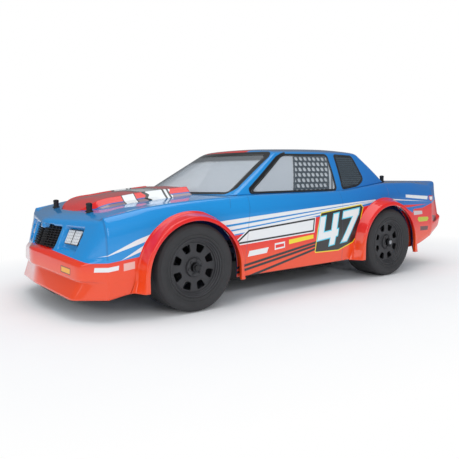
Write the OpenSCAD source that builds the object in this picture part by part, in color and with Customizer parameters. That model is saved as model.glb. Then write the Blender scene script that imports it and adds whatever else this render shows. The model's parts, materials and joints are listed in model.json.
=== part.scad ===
// Radio-controlled stock car, 1:10 class: a clear-plastic body shell on a rear-drive chassis.
// Millimetres. +Z up, the nose towards -Y, the car's left side at +X.
// The origin is on the floor, midway between the bumpers and on the centre line.

/* [Layout] */
// Distance between the front and rear axles
wheelbase = 286; // [276:1:300]
// Front axle to the tip of the front bumper
front_overhang = 118; // [112:1:124]
// Rear axle to the back of the rear bumper
rear_overhang = 144; // [138:1:150]
// Width over the wheel-arch flares
body_width = 250; // [242:1:262]
// Height of the roof's crown above the floor
roof_height = 161.5; // [155:0.5:180]

/* [Wheels] */
// Outside diameter of a tyre
tyre_diameter = 84; // [78:1:86]
// Width of a tyre
tyre_width = 42; // [36:1:44]
// Inset of a tyre's outer wall from the flare's edge
tyre_inset = 2; // [1:0.5:6]
// Diameter of the rim at the bead
rim_diameter = 56; // [52:1:58]
// Wall of the rim's barrel
rim_wall = 2.4; // [1.8:0.1:3]
// Depth of the wheel disc behind the rim's lip
disc_depth = 5.6; // [3:0.1:8]
// Number of slots in the wheel disc
slot_count = 8; // [5:1:10]
// Radius of the wheel axles
axle_radius = 2.5; // [2:0.1:3]

/* [Shell] */
// Thickness of the formed plastic sheet
sheet = 1.5; // [1.2:0.1:2]
// Radius of a wheel-arch opening
arch_radius = 49.5; // [47:0.5:54]
// Height of the front arch opening's top
front_arch_top = 86; // [84:0.5:92]
// Height of the rear arch opening's top
rear_arch_top = 88; // [84:0.5:92]
// Height of the sills above the floor
sill_height = 25; // [22:1:30]
// Height of the bottom of the air dam
dam_height = 19; // [16:1:24]
// Height of the deck's rear lip
deck_lip_height = 117.5; // [112:0.5:122]

/* [Chassis] */
// Height of the chassis floor's underside
ground_clearance = 12; // [9:0.5:16]
// Thickness of the chassis floor and walls
tub_wall = 2.5; // [2:0.1:4]
// Half-width of the chassis between the axles
tub_half_width = 66; // [58:1:70]
// Height of the chassis side walls
tub_rail = 20; // [14:1:26]

/* [Steering] */
// Distance of each kingpin from the centre line
kingpin_x = 84; // [80:0.5:86]
// Length of the steering arms and bellcrank arms
steer_arm = 14; // [11:0.5:15]
// Height of the steering linkage
steer_z = 35; // [33:0.5:37]
// Radius of the tie rods
rod_radius = 1.6; // [1.2:0.1:2]

/* [Body posts] */
// Distance of each body post from the centre line
post_x = 50; // [44:1:54]
// Radius of a body post
post_radius = 2.8; // [2.4:0.1:3.2]
// Length of a post above the shell
post_reach = 7; // [5:0.5:12]
// Radius of the hole for a body clip
clip_hole = 0.8; // [0.6:0.05:1]

/* [Power] */
// Length of the battery
battery_length = 138; // [96:1:142]
// Width of the battery
battery_width = 47; // [44:1:48]
// Height of the battery
battery_height = 25; // [20:1:27]
// Radius of the motor can
motor_radius = 18; // [16:0.5:18.5]
// Length of the motor can
motor_length = 50; // [44:1:54]

/* [Hidden] */

$fn = 40;
eps = 0.01;                                // overlap that keeps a cut clean
run_fit = 0.05;                            // radial clearance of a running fit
gap = 0.3;                                 // clearance between pieces of different bodies

length = front_overhang + wheelbase + rear_overhang;
y_nose = -length / 2;
y_tail = length / 2;
y_front = y_nose + front_overhang;         // front axle
y_rear = y_tail - rear_overhang;           // rear axle
z_axle = tyre_diameter / 2;
half_body = body_width / 2;
wheel_out = half_body - tyre_inset;        // outer wall of each tyre
wheel_in = wheel_out - tyre_width;         // inner wall of each tyre
rim_out = wheel_out - 2;                   // plane of the rim's lip
disc_x = rim_out - disc_depth;             // outer face of the wheel disc
disc_wall = 3;
hub_in = disc_x - 14;                      // inner end of the wheel's hub
nut_wall = 4;
floor_top = ground_clearance + tub_wall;

// Lines along the body shell: [station, height or half-width], stations from the front axle.
function at(y, line) = lookup(y - y_front, line);
side_line = [[-104, 94], [-96, 101], [-84, 106], [-60, 110], [-20, 112], [60, 113.5], [200, 113.5],
    [330, 113], [400, 108], [414, 104]];
crease_line = [[-104, 88], [-84, 91], [-78, 92], [-41, 98.5], [10, 103], [53, 105], [75, 106],
    [215, 107], [256, 111], [300, 115.5], [350, 114.5], [414, 111]];
centre_line = [[-104, 87], [-84, 92], [-43, 98.5], [10, 104], [40, 107.5], [200, 110], [300, 117.5],
    [360, 116], [414, 112.5]];
lower_line = [[-104, 19], [-90, 20], [-60, 25], [220, 26], [355, 31], [363, 31], [414, 47]];

module both() {
    for (s = [0, 1]) mirror([s, 0, 0]) children();
}

module x_cylinder(x0, x1, y, z, r) {
    translate([x0, y, z]) rotate([0, 90, 0]) cylinder(h = x1 - x0, r = r);
}

module corners(points) {
    hull() for (p = points) translate(p) cube(eps, center = true);
}

// A hull over a list of half-width points and their mirror images.
module mirrored_corners(points) {
    corners(concat(points, [for (p = points) [-p.x, p.y, p.z]]));
}

module rod(a, b, r) {
    d = b - a;
    translate(a) rotate([0, acos(d.z / norm(d)), atan2(d.y, d.x)]) cylinder(h = norm(d), r = r);
}

// ---- Body shell ----

// Half of a cross-section, from the lower edge over the shoulder to the centre line.
function half_section(y, t) = let (w = at(y, side_line), c = at(y, crease_line)) [
    [w - 1 - t, at(y, lower_line) - (t > 0 ? 6 : 0)], [w - t, 58], [w - 1.5 - t, c - 11],
    [w - 7 - t, c - t], [w - 16 - t, c + 1.2 - t], [w * 0.45, (c + at(y, centre_line) * 2) / 3 - t],
    [0, at(y, centre_line) - t]];
function full_section(y, t) = let (h = half_section(y, t), n = len(h)) concat(
    [for (p = h) [p[0], y, p[1]]],
    [for (i = [n - 2:-1:0]) [-h[i][0], y, h[i][1]]]);

// Solid below the hood, doors and deck; t insets its faces by the sheet's thickness.
module lower_solid(t) {
    y0 = y_nose + 14 + t;
    y1 = y_tail - 9 - t;
    stations = [y0, y_front - 96, y_front - 84, y_front - 78, y_front - 60, y_front - 41,
        y_front - 20, y_front + 10, y_front + 40, y_front + 53, y_front + 75, y_front + 215,
        y_rear - 30, y_rear + 14, y_rear + 64, y_rear + 77, y_rear + 114, y1];
    rings = [for (y = stations) full_section(y, t)];
    n = len(rings[0]);
    faces = concat(
        [for (i = [0:len(rings) - 2], j = [0:n - 1]) for (f = [0, 1]) let (k = (j + 1) % n)
            f == 0 ? [i * n + j, i * n + k, (i + 1) * n + k]
                : [i * n + j, (i + 1) * n + k, (i + 1) * n + j]],
        [[for (j = [n - 1:-1:0]) j]],
        [[for (j = [0:n - 1]) (len(rings) - 1) * n + j]]);
    polyhedron([for (r = rings, p = r) p], faces, convexity = 4);
}

// The nose in three tiers: painted fascia, bumper band and air dam.
module nose_solid(t) {
    back = y_front - 84;
    low = t > 0 ? 6 : 0;
    mirrored_corners([[0, y_nose + 15 + t, 85.5 - t], [100 - t, y_nose + 33.5 + t, 90 - t],
        [104 - t, back, 91 - t], [0, y_nose + 8 + t, 62], [78, y_nose + 19 + t, 55],
        [97 - t, y_nose + 28 + t, 52], [104 - t, back, 52]]);
    mirrored_corners([[0, y_nose + t, 62.8 - t], [84, y_nose + 17 + t, 54 - t],
        [101 - t, y_nose + 31 + t, 52], [107 - t, back, 54 - t], [0, y_nose + 1 + t, 43],
        [83, y_nose + 18 + t, 35], [101 - t, y_nose + 31 + t, 35], [107 - t, back, 35]]);
    mirrored_corners([[0, y_nose + 7 + t, 46], [80, y_nose + 19 + t, 40], [101 - t, y_nose + 32 + t, 40],
        [107 - t, back, 40], [0, y_nose + 2 + t, 26 - low], [81, y_nose + 12 + t, dam_height - low],
        [98 - t, y_nose + 30 + t, 22 - low], [107 - t, back, 23 - low]]);
}

// The tail: sloping panel above the bumper, tucked-under valance below it.
module tail_solid(t) {
    front = y_rear + 100;
    low = t > 0 ? 6 : 0;
    mirrored_corners([[104 - t, front, 110 - t], [102 - t, y_tail - 10 - t, 109 - t],
        [0, y_tail - 8 - t, 111 - t], [108 - t, front, 66], [105 - t, y_tail - 4 - t, 68],
        [60, y_tail - t, 68], [108 - t, front, 56], [105 - t, y_tail - 3 - t, 58], [60, y_tail - t, 58],
        [106 - t, front + 20, 44 - low], [100 - t, y_tail - 12 - t, 47 - low]]);
    mirrored_corners([[99 - t, y_tail - 46 + t, 112 - t], [98 - t, y_tail - 12 - t, deck_lip_height - t],
        [96 - t, y_tail - 11 - t, 106], [99 - t, y_tail - 40, 104]]);
}

// Roof, pillars and glass line, before its windows are cut.
module cabin_solid(t) {
    h = roof_height - t;
    mirrored_corners([[102 - t, y_front + 56 + t, 103], [100 - t, y_front + 60.4 + t, 107],
        [60, y_front + 39 + t, 104], [0, y_front + 29 + t, 104], [0, y_front + 30 + t, 107.5],
        [77 - t, y_front + 135.4 + t, h - 8.5], [45, y_front + 112 + t, h - 6.5],
        [0, y_front + 105 + t, h - 7], [60, y_front + 160, h - 3.4], [0, y_front + 158, h - 2],
        [0, y_rear - 40, h], [56, y_rear - 50, h - 2.6], [77 - t, y_rear - 15.5 - t, h - 8.5],
        [44, y_rear - 9 - t, h - 3.5], [0, y_rear - 7 - t, h - 2.5], [95 - t, y_rear + 19 - t, 117],
        [101 - t, y_rear + 16 - t, 104], [0, y_rear + 34 - t, 117], [0, y_rear + 36 - t, 104]]);
}

// Raised centre of the hood, open at the back like an air scoop.
module hood_bulge(t) {
    mirrored_corners([[30 - t, y_front - 70 + t, 93], [27 - t, y_front - 68 + t, 94.5 - t],
        [44 - t, y_front + 26 - t, 100], [40 - t, y_front + 24 - t, 113.5 - t],
        [37 - t, y_front - 20, 112 - t], [0, y_front - 20, 115 - t], [0, y_front + 26 - t, 115.5 - t],
        [0, y_front - 72 + t, 93], [31 - t, y_front - 36, 106 - t], [0, y_front - 38, 110 - t]]);
}

module arch(y, top, x0, x1, r) {
    z = top - arch_radius;
    hull() {
        x_cylinder(x0, x1, y, z, r);
        translate([x0, y - r, -1]) cube([x1 - x0, 2 * r, 2]);
    }
}

// Flared lip around an arch, level with the outside of the tyre.
module flare(y, top, t) {
    z = top - arch_radius;
    low = t > 0 ? sill_height - 6 : sill_height;
    intersection() {
        hull() {
            x_cylinder(half_body - t - 1, half_body - t, y, z, arch_radius + 8 - t);
            x_cylinder(half_body - 17, half_body - 16, y, z, arch_radius + 15 - t);
            translate([half_body - t - 1, y - arch_radius - 12 + t, 0])
                cube([1, 2 * (arch_radius + 12 - t), 10]);
            translate([half_body - 17, y - arch_radius - 15 + t, 0])
                cube([1, 2 * (arch_radius + 15 - t), 10]);
        }
        translate([0, y - 90, low]) cube([half_body + 1, 180, 100]);
    }
}

// Recesses for the grille and the lamps; grow widens them to make their moulded walls.
module nose_recesses(grow) {
    both() {
        corners([for (dy = [-20, 9 + grow], p = [[3 - grow, 84 - 18], [3 - grow, 79 + grow],
            [30 + grow, 81 + grow], [26 + grow, 64 - grow], [3 - grow, 62 - grow]])
            [p[0], y_nose + 12 + dy + p[0] * 0.15, p[1]]]);
        corners([for (dy = [-20, 6 + grow], p = [[42 - grow, 62 - grow], [40 - grow, 82 + grow],
            [83 + grow, 84 + grow], [81 + grow, 61 - grow]])
            [p[0], y_nose + 14 + dy + p[0] * 0.2, p[1]]]);
    }
}

module outer_form() {
    difference() {
        union() {
            lower_solid(0);
            nose_solid(0);
            tail_solid(0);
            cabin_solid(0);
            hood_bulge(0);
            both() {
                flare(y_front, front_arch_top, 0);
                flare(y_rear, rear_arch_top, 0);
            }
        }
        nose_recesses(0);
    }
}

module inner_form() {
    difference() {
        union() {
            lower_solid(sheet);
            nose_solid(sheet);
            tail_solid(sheet);
            cabin_solid(sheet);
            hood_bulge(sheet);
            both() {
                flare(y_front, front_arch_top, sheet);
                flare(y_rear, rear_arch_top, sheet);
            }
        }
        nose_recesses(sheet);
    }
}

// Outlines of the clear areas; inset keeps a pane clear of its frame.
module window_prism(outline, inset, x0, x1) {
    translate([x0, 0, 0]) rotate([90, 0, 90]) linear_extrude(x1 - x0) offset(delta = -inset)
        polygon([for (p = outline) [y_front + p[0], p[1]]]);
}
door_outline = [[79, 108.5], [142.5, 150.5], [216, 151.5], [212, 108.8]];
quarter_outline = [[223, 109.5], [229, 151.5], [261, 150], [266, 121.5], [254, 115]];

module end_prism(outline, inset, y0, y1) {
    translate([0, y1, 0]) rotate([90, 0, 0]) linear_extrude(y1 - y0) offset(delta = -inset)
        polygon(outline);
}
windshield_outline = [[-89, 111], [89, 111], [73, roof_height - 11.5], [-73, roof_height - 11.5]];
rear_outline = [[-76, 121], [76, 121], [62, roof_height - 12], [-62, roof_height - 12]];

module side_cuts(inset) {
    window_prism(door_outline, inset, -half_body, half_body);
}

module quarter_cuts(inset) {
    window_prism(quarter_outline, inset, -half_body, half_body);
}

module windshield_cut(inset) {
    end_prism(windshield_outline, inset, y_front + 28, y_front + 150);
}

module rear_cut(inset) {
    end_prism(rear_outline, inset, y_rear - 30, y_rear + 60);
}

post_places = [[y_front - 74, 94], [y_rear + 75, 116.5]];

module body_shell() {
    color([0.0, 0.46, 0.75]) difference() {
        outer_form();
        inner_form();
        side_cuts(0);
        quarter_cuts(0);
        windshield_cut(0);
        rear_cut(0);
        arch(y_front, front_arch_top, -half_body - 1, half_body + 1, arch_radius);
        arch(y_rear, rear_arch_top, -half_body - 1, half_body + 1, arch_radius);
        both() for (p = post_places) translate([post_x, p[0], p[1] - 20])
            cylinder(h = 40, r = post_radius + 0.4);
    }
}

module cabin_skin() {
    difference() {
        cabin_solid(0);
        cabin_solid(sheet);
    }
}

module windshield() {
    color([0.85, 0.9, 0.95, 0.4]) intersection() {
        cabin_skin();
        windshield_cut(gap / 2);
        translate([-half_body, y_front + 20, 0]) cube([body_width, 125, 200]);
    }
}

module rear_window() {
    color([0.85, 0.9, 0.95, 0.4]) intersection() {
        cabin_skin();
        rear_cut(gap / 2);
    }
}

module door_windows() {
    color([0.85, 0.9, 0.95, 0.4]) intersection() {
        cabin_skin();
        side_cuts(gap / 2);
        both() translate([60, y_front, 100]) cube([60, wheelbase, 60]);
    }
}

module quarter_windows() {
    color([0.2, 0.22, 0.25, 0.7]) intersection() {
        cabin_skin();
        quarter_cuts(gap / 2);
        both() translate([60, y_front, 100]) cube([60, wheelbase, 60]);
    }
}

// ---- Chassis ----
nose_half_width = 26;
tub_outline = [[nose_half_width, y_front - 84], [nose_half_width, y_front + 18],
    [nose_half_width + 12, y_front + 38], [tub_half_width, y_front + 66],
    [tub_half_width, y_rear - 46], [34, y_rear - 18], [30, y_rear + 48]];
bellcrank_x = 22;
bellcrank_y = y_front + 30;
drag_arm = 12;
plate = 3;                                 // thickness of the steering plates
link_z = steer_z + plate + gap;            // underside of the link eyes

module tub_plan() {
    polygon(concat(tub_outline, [for (i = [len(tub_outline) - 1:-1:0])
        [-tub_outline[i].x, tub_outline[i].y]]));
}

module chassis_tub() {
    color([0.1, 0.1, 0.11]) {
        difference() {
            translate([0, 0, ground_clearance]) linear_extrude(tub_rail) tub_plan();
            translate([0, 0, floor_top]) linear_extrude(tub_rail) offset(delta = -tub_wall) tub_plan();
            translate([-100, y_front - 90, floor_top + 3]) cube([200, 134, tub_rail]);
            translate([-100, y_front - 90, floor_top]) cube([200, 20, tub_rail]);
            translate([-100, y_rear - 60, floor_top + 3]) cube([200, 136, tub_rail]);
        }
        both() translate([bellcrank_x, bellcrank_y, floor_top - eps])
            cylinder(h = steer_z + 6 - floor_top, r = 2.5);
    }
}

module front_bumper() {
    color([0.12, 0.12, 0.13]) translate([0, 0, floor_top + gap]) linear_extrude(7)
        polygon([[-58, y_nose + 22], [-20, y_nose + 15], [20, y_nose + 15], [58, y_nose + 22],
            [58, y_nose + 34], [24, y_front - 74], [-24, y_front - 74], [-58, y_nose + 34]]);
}

bulkhead_half = 20;
mount_half = 12;                           // half-length of the bulkhead and of the gearbox's back
shock_off = 23;                            // distance of each damper from its axle
module front_bulkhead() {
    color([0.13, 0.13, 0.14]) translate([-bulkhead_half, y_front - mount_half, floor_top + 0.1])
        cube([2 * bulkhead_half, 2 * mount_half, 36]);
}

arm_z = floor_top + 5.5;
arm_in = bulkhead_half + gap;
arm_out = kingpin_x - 13.3;
eye_x = kingpin_x - 26;
module suspension_arm(y, side) {
    difference() {
        linear_extrude(5) polygon([[arm_in, y - 14], [arm_out, y - 8], [arm_out, y + 8],
            [arm_in, y + 14]]);
        translate([0, 0, -eps]) linear_extrude(6) polygon([[arm_in + 9, y - 8], [arm_out - 17, y - 4],
            [arm_out - 17, y + 4], [arm_in + 9, y + 8]]);
    }
    translate([eye_x, y + side * shock_off, 0]) cylinder(h = 5, r = 4);
    translate([eye_x - 4, y + min(side * shock_off, side * 6), 0]) cube([8, shock_off - 6, 5]);
}

module front_arms() {
    color([0.13, 0.13, 0.14]) both() translate([0, 0, arm_z]) suspension_arm(y_front, -1);
}

ear_z = 10;
block_half = 9.7;
module front_hub_carriers() {
    color([0.13, 0.13, 0.14]) both() {
        translate([kingpin_x - 13, y_front - 6, z_axle - 20]) cube([5, 12, 33.5]);
        for (s = [-1, 1]) translate([0, y_front, z_axle + s * (ear_z + 1.75) - 1.75]) {
            translate([kingpin_x - 13, -6, 0]) cube([13, 12, 3.5]);
            translate([kingpin_x, 0, 0]) cylinder(h = 3.5, r = 6);
        }
        for (z = [z_axle - ear_z - eps, z_axle + ear_z - 5]) translate([kingpin_x, y_front, z])
            cylinder(h = 5 + eps, r = 1.5);
    }
}

module ball_link(a, b) {
    rod(a, b, rod_radius);
    for (p = [a, b]) translate(p) sphere(r = 3);
}

module front_camber_links() {
    color([0.35, 0.36, 0.38]) both() ball_link([bulkhead_half + 3 + gap, y_front - 9.3, z_axle + 3],
        [kingpin_x - 10, y_front - 9.3, z_axle + 8]);
}

module shock_tower(y, z0, z1, top_x) {
    translate([0, y + 3, 0]) rotate([90, 0, 0]) linear_extrude(3)
        polygon([[-14, z0], [14, z0], [20, z0 + 20], [top_x + 5, z1 - 6], [top_x + 4, z1], [-top_x - 4, z1],
            [-top_x - 5, z1 - 6], [-20, z0 + 20]]);
}

front_top_x = 41;
front_top_z = z_axle + 37;
module front_shock_tower() {
    color([0.1, 0.1, 0.11]) {
        shock_tower(y_front - mount_half - 3.2, floor_top + 10, front_top_z + 4, front_top_x);
        both() translate([front_top_x, y_front - shock_off - 2.6, front_top_z]) rotate([-90, 0, 0])
            cylinder(h = shock_off - mount_half - 0.5, r = 1.5);
    }
}

// Damper between its lower eye at a and its upper eye at b, both along Y.
module shock(a, b) {
    d = b - a;
    u = d / norm(d);
    for (p = [a, b]) difference() {
        translate(p) rotate([90, 0, 0]) cylinder(h = 5, r = 4, center = true);
        translate(p) rotate([90, 0, 0]) cylinder(h = 7, r = 1.5 + run_fit, center = true);
    }
    rod(a + u * 3.5, a + u * 20, 1.5);
    rod(a + u * 7, a + u * 9, 7);
    rod(a + u * 18, b - u * 3.5, 5.4);
    rod(b - u * 14, b - u * 12, 7.2);
}

module front_shocks() {
    color([0.3, 0.3, 0.32]) both() shock([eye_x, y_front - shock_off, arm_z + 9.1],
        [front_top_x, y_front - shock_off, front_top_z]);
}

horn_y = bellcrank_y + 38;
servo_top = floor_top + gap + 25;
module steering_servo() {
    color([0.08, 0.08, 0.09]) {
        translate([-bellcrank_x - 10, horn_y - 10, floor_top + gap]) cube([20, 40, servo_top - floor_top - gap]);
        translate([-bellcrank_x - 10, horn_y - 17, servo_top - 10]) cube([20, 54, 2.5]);
        translate([-bellcrank_x, horn_y, servo_top - eps]) cylinder(h = 4, r = 2.9);
    }
}

module gearbox() {
    color([0.13, 0.13, 0.14]) difference() {
        union() {
            translate([-22, y_rear - 18, floor_top + 0.1]) cube([44, 18 + mount_half, 45]);
            translate([-3, y_rear - 46, floor_top + 0.1]) cube([25, 29, 40]);
        }
        both() x_cylinder(17, 23, y_rear, z_axle, 7);
    }
}

motor_y = y_rear - 38;
module motor() {
    color([0.6, 0.61, 0.63]) {
        x_cylinder(-14.3 - motor_length, -14.3, motor_y, z_axle, motor_radius);
        x_cylinder(-18.3 - motor_length, -14.3 - motor_length, motor_y, z_axle, 6);
    }
}

module gear_cover() {
    color([0.1, 0.1, 0.11]) x_cylinder(-14, -3.3, y_rear - 34, z_axle, 15.6);
}

module rear_arms() {
    color([0.13, 0.13, 0.14]) both() translate([2.2, 0, arm_z]) suspension_arm(y_rear, 1);
}

module rear_hub_carriers() {
    color([0.13, 0.13, 0.14]) both() difference() {
        union() {
            translate([kingpin_x - 8, y_rear - 8, z_axle - 14]) cube([14, 16, 28]);
            translate([kingpin_x - 10.5, y_rear - 8, arm_z]) cube([6, 16, 8]);
        }
        x_cylinder(kingpin_x - 9, kingpin_x + 7, y_rear, z_axle, axle_radius + run_fit);
    }
}

module rear_camber_links() {
    color([0.35, 0.36, 0.38]) both() ball_link([22 + 3 + gap, y_rear + 11.3, z_axle + 12],
        [kingpin_x - 2, y_rear + 11.3, z_axle + 9]);
}

rear_top_x = 38;
rear_top_z = z_axle + 52;
module rear_shock_tower() {
    color([0.1, 0.1, 0.11]) {
        shock_tower(y_rear + mount_half + 0.2, floor_top + 20, rear_top_z + 4, rear_top_x);
        both() translate([rear_top_x, y_rear + mount_half + 3, rear_top_z]) rotate([-90, 0, 0])
            cylinder(h = shock_off - mount_half - 0.4, r = 1.5);
    }
}

module rear_shocks() {
    color([0.3, 0.3, 0.32]) both() shock([eye_x + 2.2, y_rear + shock_off, arm_z + 9.1],
        [rear_top_x, y_rear + shock_off, rear_top_z]);
}

battery_x = 8;
battery_y = y_rear - 56 - battery_length;
module battery() {
    color([0.2, 0.22, 0.26]) translate([battery_x, battery_y, floor_top + 0.1])
        cube([battery_width, battery_length, battery_height]);
}

module battery_strap() {
    top = floor_top + 0.1 + battery_height + 0.1;
    color([0.08, 0.08, 0.09]) for (y = [battery_y + 24, battery_y + battery_length - 40]) {
        translate([battery_x - 3.2, y, top]) cube([battery_width + 6.4, 14, 2]);
        for (x = [battery_x - 3.2, battery_x + battery_width + 0.2]) translate([x, y, floor_top + 0.1])
            cube([3, 14, battery_height + 0.2]);
    }
}

module speed_controller() {
    color([0.08, 0.08, 0.09]) {
        translate([-56, y_front + 126, floor_top + 0.1]) cube([36, 38, 18]);
        for (i = [0:5]) translate([-55 + i * 6.2, y_front + 127, floor_top + 18]) cube([3, 36, 6]);
    }
}

module receiver_box() {
    color([0.12, 0.12, 0.13]) translate([-58, y_front + 176, floor_top + 0.1]) cube([34, 26, 20]);
}

module post(y, top, foot) {
    difference() {
        union() {
            translate([post_x, y, foot]) cylinder(h = top + post_reach - foot, r = post_radius);
            translate([post_x, y, foot]) cylinder(h = top - foot - sheet - 2, r = post_radius + 2);
        }
        translate([post_x, y, top + post_reach / 2 + 0.5]) rotate([90, 0, 0])
            cylinder(h = 4 * post_radius, r = clip_hole, center = true);
    }
}

module front_body_posts() {
    color([0.07, 0.07, 0.08]) both() post(post_places[0][0], post_places[0][1], floor_top + 15.1);
}

module front_post_bracket() {
    y = post_places[0][0];
    color([0.07, 0.07, 0.08]) {
        translate([-post_x - 4, y - 4, floor_top + 9]) cube([2 * post_x + 8, 8, 6]);
        translate([-12, y - 4, floor_top + 7.6]) cube([24, 8, 6]);
    }
}

module rear_body_posts() {
    color([0.07, 0.07, 0.08]) both() post(post_places[1][0], post_places[1][1], z_axle + 6.1);
}

module rear_post_bracket() {
    y = post_places[1][0];
    color([0.07, 0.07, 0.08]) {
        translate([-post_x - 4, y - 4, z_axle]) cube([2 * post_x + 8, 8, 6]);
        both() translate([6, y_rear + mount_half + 3.4, z_axle])
            cube([7, y - y_rear - mount_half - 3.4, 6]);
    }
}

// ---- Steering linkage: every arm turns alike, so the links only shift sideways ----
module steer_plate(pivot, arm, hub) {
    translate(pivot) {
        linear_extrude(plate) {
            polygon([for (a = [0, 90, 180, 270]) let (n = [arm.y, -arm.x] / norm(arm))
                (a < 180 ? arm : [0, 0]) + n * ((a == 0 || a == 270) ? 2.6 : -2.6)]);
            translate(arm) circle(r = 3.2);
            circle(r = hub);
        }
        translate([arm.x, arm.y, plate - eps]) cylinder(h = plate + gap, r = 1.5);
    }
}

module link_eye(p, hole) {
    translate([p.x, p.y, 0]) difference() {
        cylinder(h = plate, r = 3.4);
        translate([0, 0, -1]) cylinder(h = plate + 2, r = hole);
    }
}

// Straight link between two studs; the far eye is the loosely fitted one.
module steer_link(a, b, z) {
    d = b - a;
    u = d / norm(d);
    translate([0, 0, z]) {
        link_eye(a, 1.5 + run_fit);
        link_eye(b, 1.5 + gap);
        translate([0, 0, plate / 2])
            rod([a.x + u.x * 3, a.y + u.y * 3, 0], [b.x - u.x * 3, b.y - u.y * 3, 0], rod_radius * 0.9);
    }
}

pivot_left = [bellcrank_x, bellcrank_y];
pivot_right = [-bellcrank_x, bellcrank_y];
knuckle_stud = [kingpin_x, y_front + steer_arm];
horn_arm = [12, 0];
horn_z = servo_top + gap;

module bellcrank_hub(pivot, z0, z1) {
    difference() {
        translate([pivot.x, pivot.y, z0]) cylinder(h = z1 - z0, r = 5);
        translate([pivot.x, pivot.y, z0 - 1]) cylinder(h = z1 - z0 + 2, r = 2.5 + run_fit);
    }
}

module bellcrank_plates(pivot) {
    difference() {
        union() {
            steer_plate([pivot.x, pivot.y, steer_z], [0, steer_arm], 4.9);
            steer_plate([pivot.x, pivot.y, steer_z], [0, -drag_arm], 4.9);
        }
        translate([pivot.x, pivot.y, 0]) cylinder(h = 100, r = 2.5 + run_fit);
    }
}

module left_bellcrank() {
    color([0.15, 0.15, 0.16]) {
        bellcrank_hub(pivot_left, steer_z - 5, steer_z + 5);
        bellcrank_plates(pivot_left);
    }
}

module right_bellcrank() {
    color([0.15, 0.15, 0.16]) {
        bellcrank_hub(pivot_right, steer_z - 5, horn_z + plate);
        bellcrank_plates(pivot_right);
        difference() {
            steer_plate([pivot_right.x, pivot_right.y, horn_z], horn_arm, 4.9);
            translate([pivot_right.x, pivot_right.y, 0]) cylinder(h = 100, r = 2.5 + run_fit);
        }
    }
}

module servo_horn() {
    color([0.15, 0.15, 0.16]) difference() {
        steer_plate([pivot_right.x, horn_y, horn_z], horn_arm, 5);
        translate([pivot_right.x, horn_y, horn_z - 1]) cylinder(h = 20, r = 2.9 + run_fit);
    }
}

module servo_link() {
    color([0.35, 0.36, 0.38]) steer_link([pivot_right.x, horn_y] + horn_arm, pivot_right + horn_arm,
        horn_z + plate + gap);
}

module drag_link() {
    color([0.35, 0.36, 0.38]) steer_link(pivot_left - [0, drag_arm], pivot_right - [0, drag_arm], link_z);
}

module tie_rod() {
    color([0.35, 0.36, 0.38]) steer_link(pivot_left + [0, steer_arm], knuckle_stud, link_z);
}

module left_tie_rod() tie_rod();
module right_tie_rod() mirror([1, 0, 0]) tie_rod();

module knuckle() {
    color([0.13, 0.13, 0.14]) {
        difference() {
            union() {
                translate([kingpin_x - 5, y_front - 5, z_axle - block_half])
                    cube([11, 10, 2 * block_half]);
                x_cylinder(kingpin_x, hub_in - gap, y_front, z_axle, 5);
                steer_plate([kingpin_x, y_front, steer_z], [0, steer_arm], 4);
            }
            for (z = [z_axle - block_half - 1, z_axle + block_half - 6])
                translate([kingpin_x, y_front, z]) cylinder(h = 7, r = 1.5 + run_fit);
        }
        x_cylinder(hub_in - gap - eps, rim_out + 1.5, y_front, z_axle, axle_radius);
    }
}

module left_knuckle() knuckle();
module right_knuckle() mirror([1, 0, 0]) knuckle();

// ---- Wheels ----
rim_r = rim_diameter / 2;
barrel_in = wheel_in + 2;
lip = 3;                                   // height of the bead flanges

function arc(cx, cy, r, a0, a1, n) = [for (i = [0:n]) let (a = a0 + (a1 - a0) * i / n)
    [cx + r * cos(a), cy + r * sin(a)]];

// Turned about the axle line; profiles are [radius, distance from the centre line].
module turned(y) {
    translate([0, y, z_axle]) rotate([0, 90, 0]) rotate_extrude($fn = 72) children();
}

module wheel(y, bore) {
    slot_turn = 360 / slot_count;
    color([0.16, 0.16, 0.17]) difference() {
        turned(y) polygon([[rim_r - rim_wall, barrel_in], [rim_r + lip, barrel_in],
            [rim_r + lip, barrel_in + 1.6], [rim_r, barrel_in + 1.8], [rim_r, rim_out - 2],
            [rim_r + lip, rim_out - 1.6], [rim_r + lip, rim_out], [rim_r - rim_wall + 1, rim_out],
            [rim_r - rim_wall - 0.6, disc_x], [13.2, disc_x], [12, disc_x + 1.6], [bore, disc_x + 1.6],
            [bore, hub_in], [7.5, hub_in], [7.5, disc_x - disc_wall],
            [rim_r - rim_wall, disc_x - disc_wall]]);
        for (i = [0:slot_count - 1]) translate([disc_x - disc_wall - 1, y, z_axle])
            rotate([0, 90, 0]) rotate([0, 0, (i + 0.5) * slot_turn - 11.5])
                rotate_extrude(angle = 23) translate([14.6, 0]) square([7.6, disc_wall + 3]);
    }
}

module tyre(y) {
    r = tyre_diameter / 2;
    shoulder = 7;
    wall = 3;
    a = wheel_in;
    b = wheel_out;
    color([0.09, 0.09, 0.1]) turned(y) polygon(concat(
        [[rim_r + lip + 0.1, a + 0.4]], arc(r - shoulder, a + shoulder, shoulder, -90, 0, 8),
        arc(r - shoulder, b - shoulder, shoulder, 0, 90, 8), [[rim_r + lip + 0.1, b - 0.4],
            [rim_r + lip + 0.1, rim_out - 1.8], [rim_r + 0.1, rim_out - 2.2], [rim_r + 0.1, rim_out - 5],
            [rim_r + lip + 2, b - wall - 1.5]],
        arc(r - shoulder, b - shoulder, shoulder - wall, 90, 0, 6),
        arc(r - shoulder, a + shoulder, shoulder - wall, 0, -90, 6),
        [[rim_r + lip + 2, a + wall + 1.5], [rim_r + 0.1, barrel_in + 5], [rim_r + 0.1, barrel_in + 2],
            [rim_r + lip + 0.1, barrel_in + 1.7]]));
}

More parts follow.
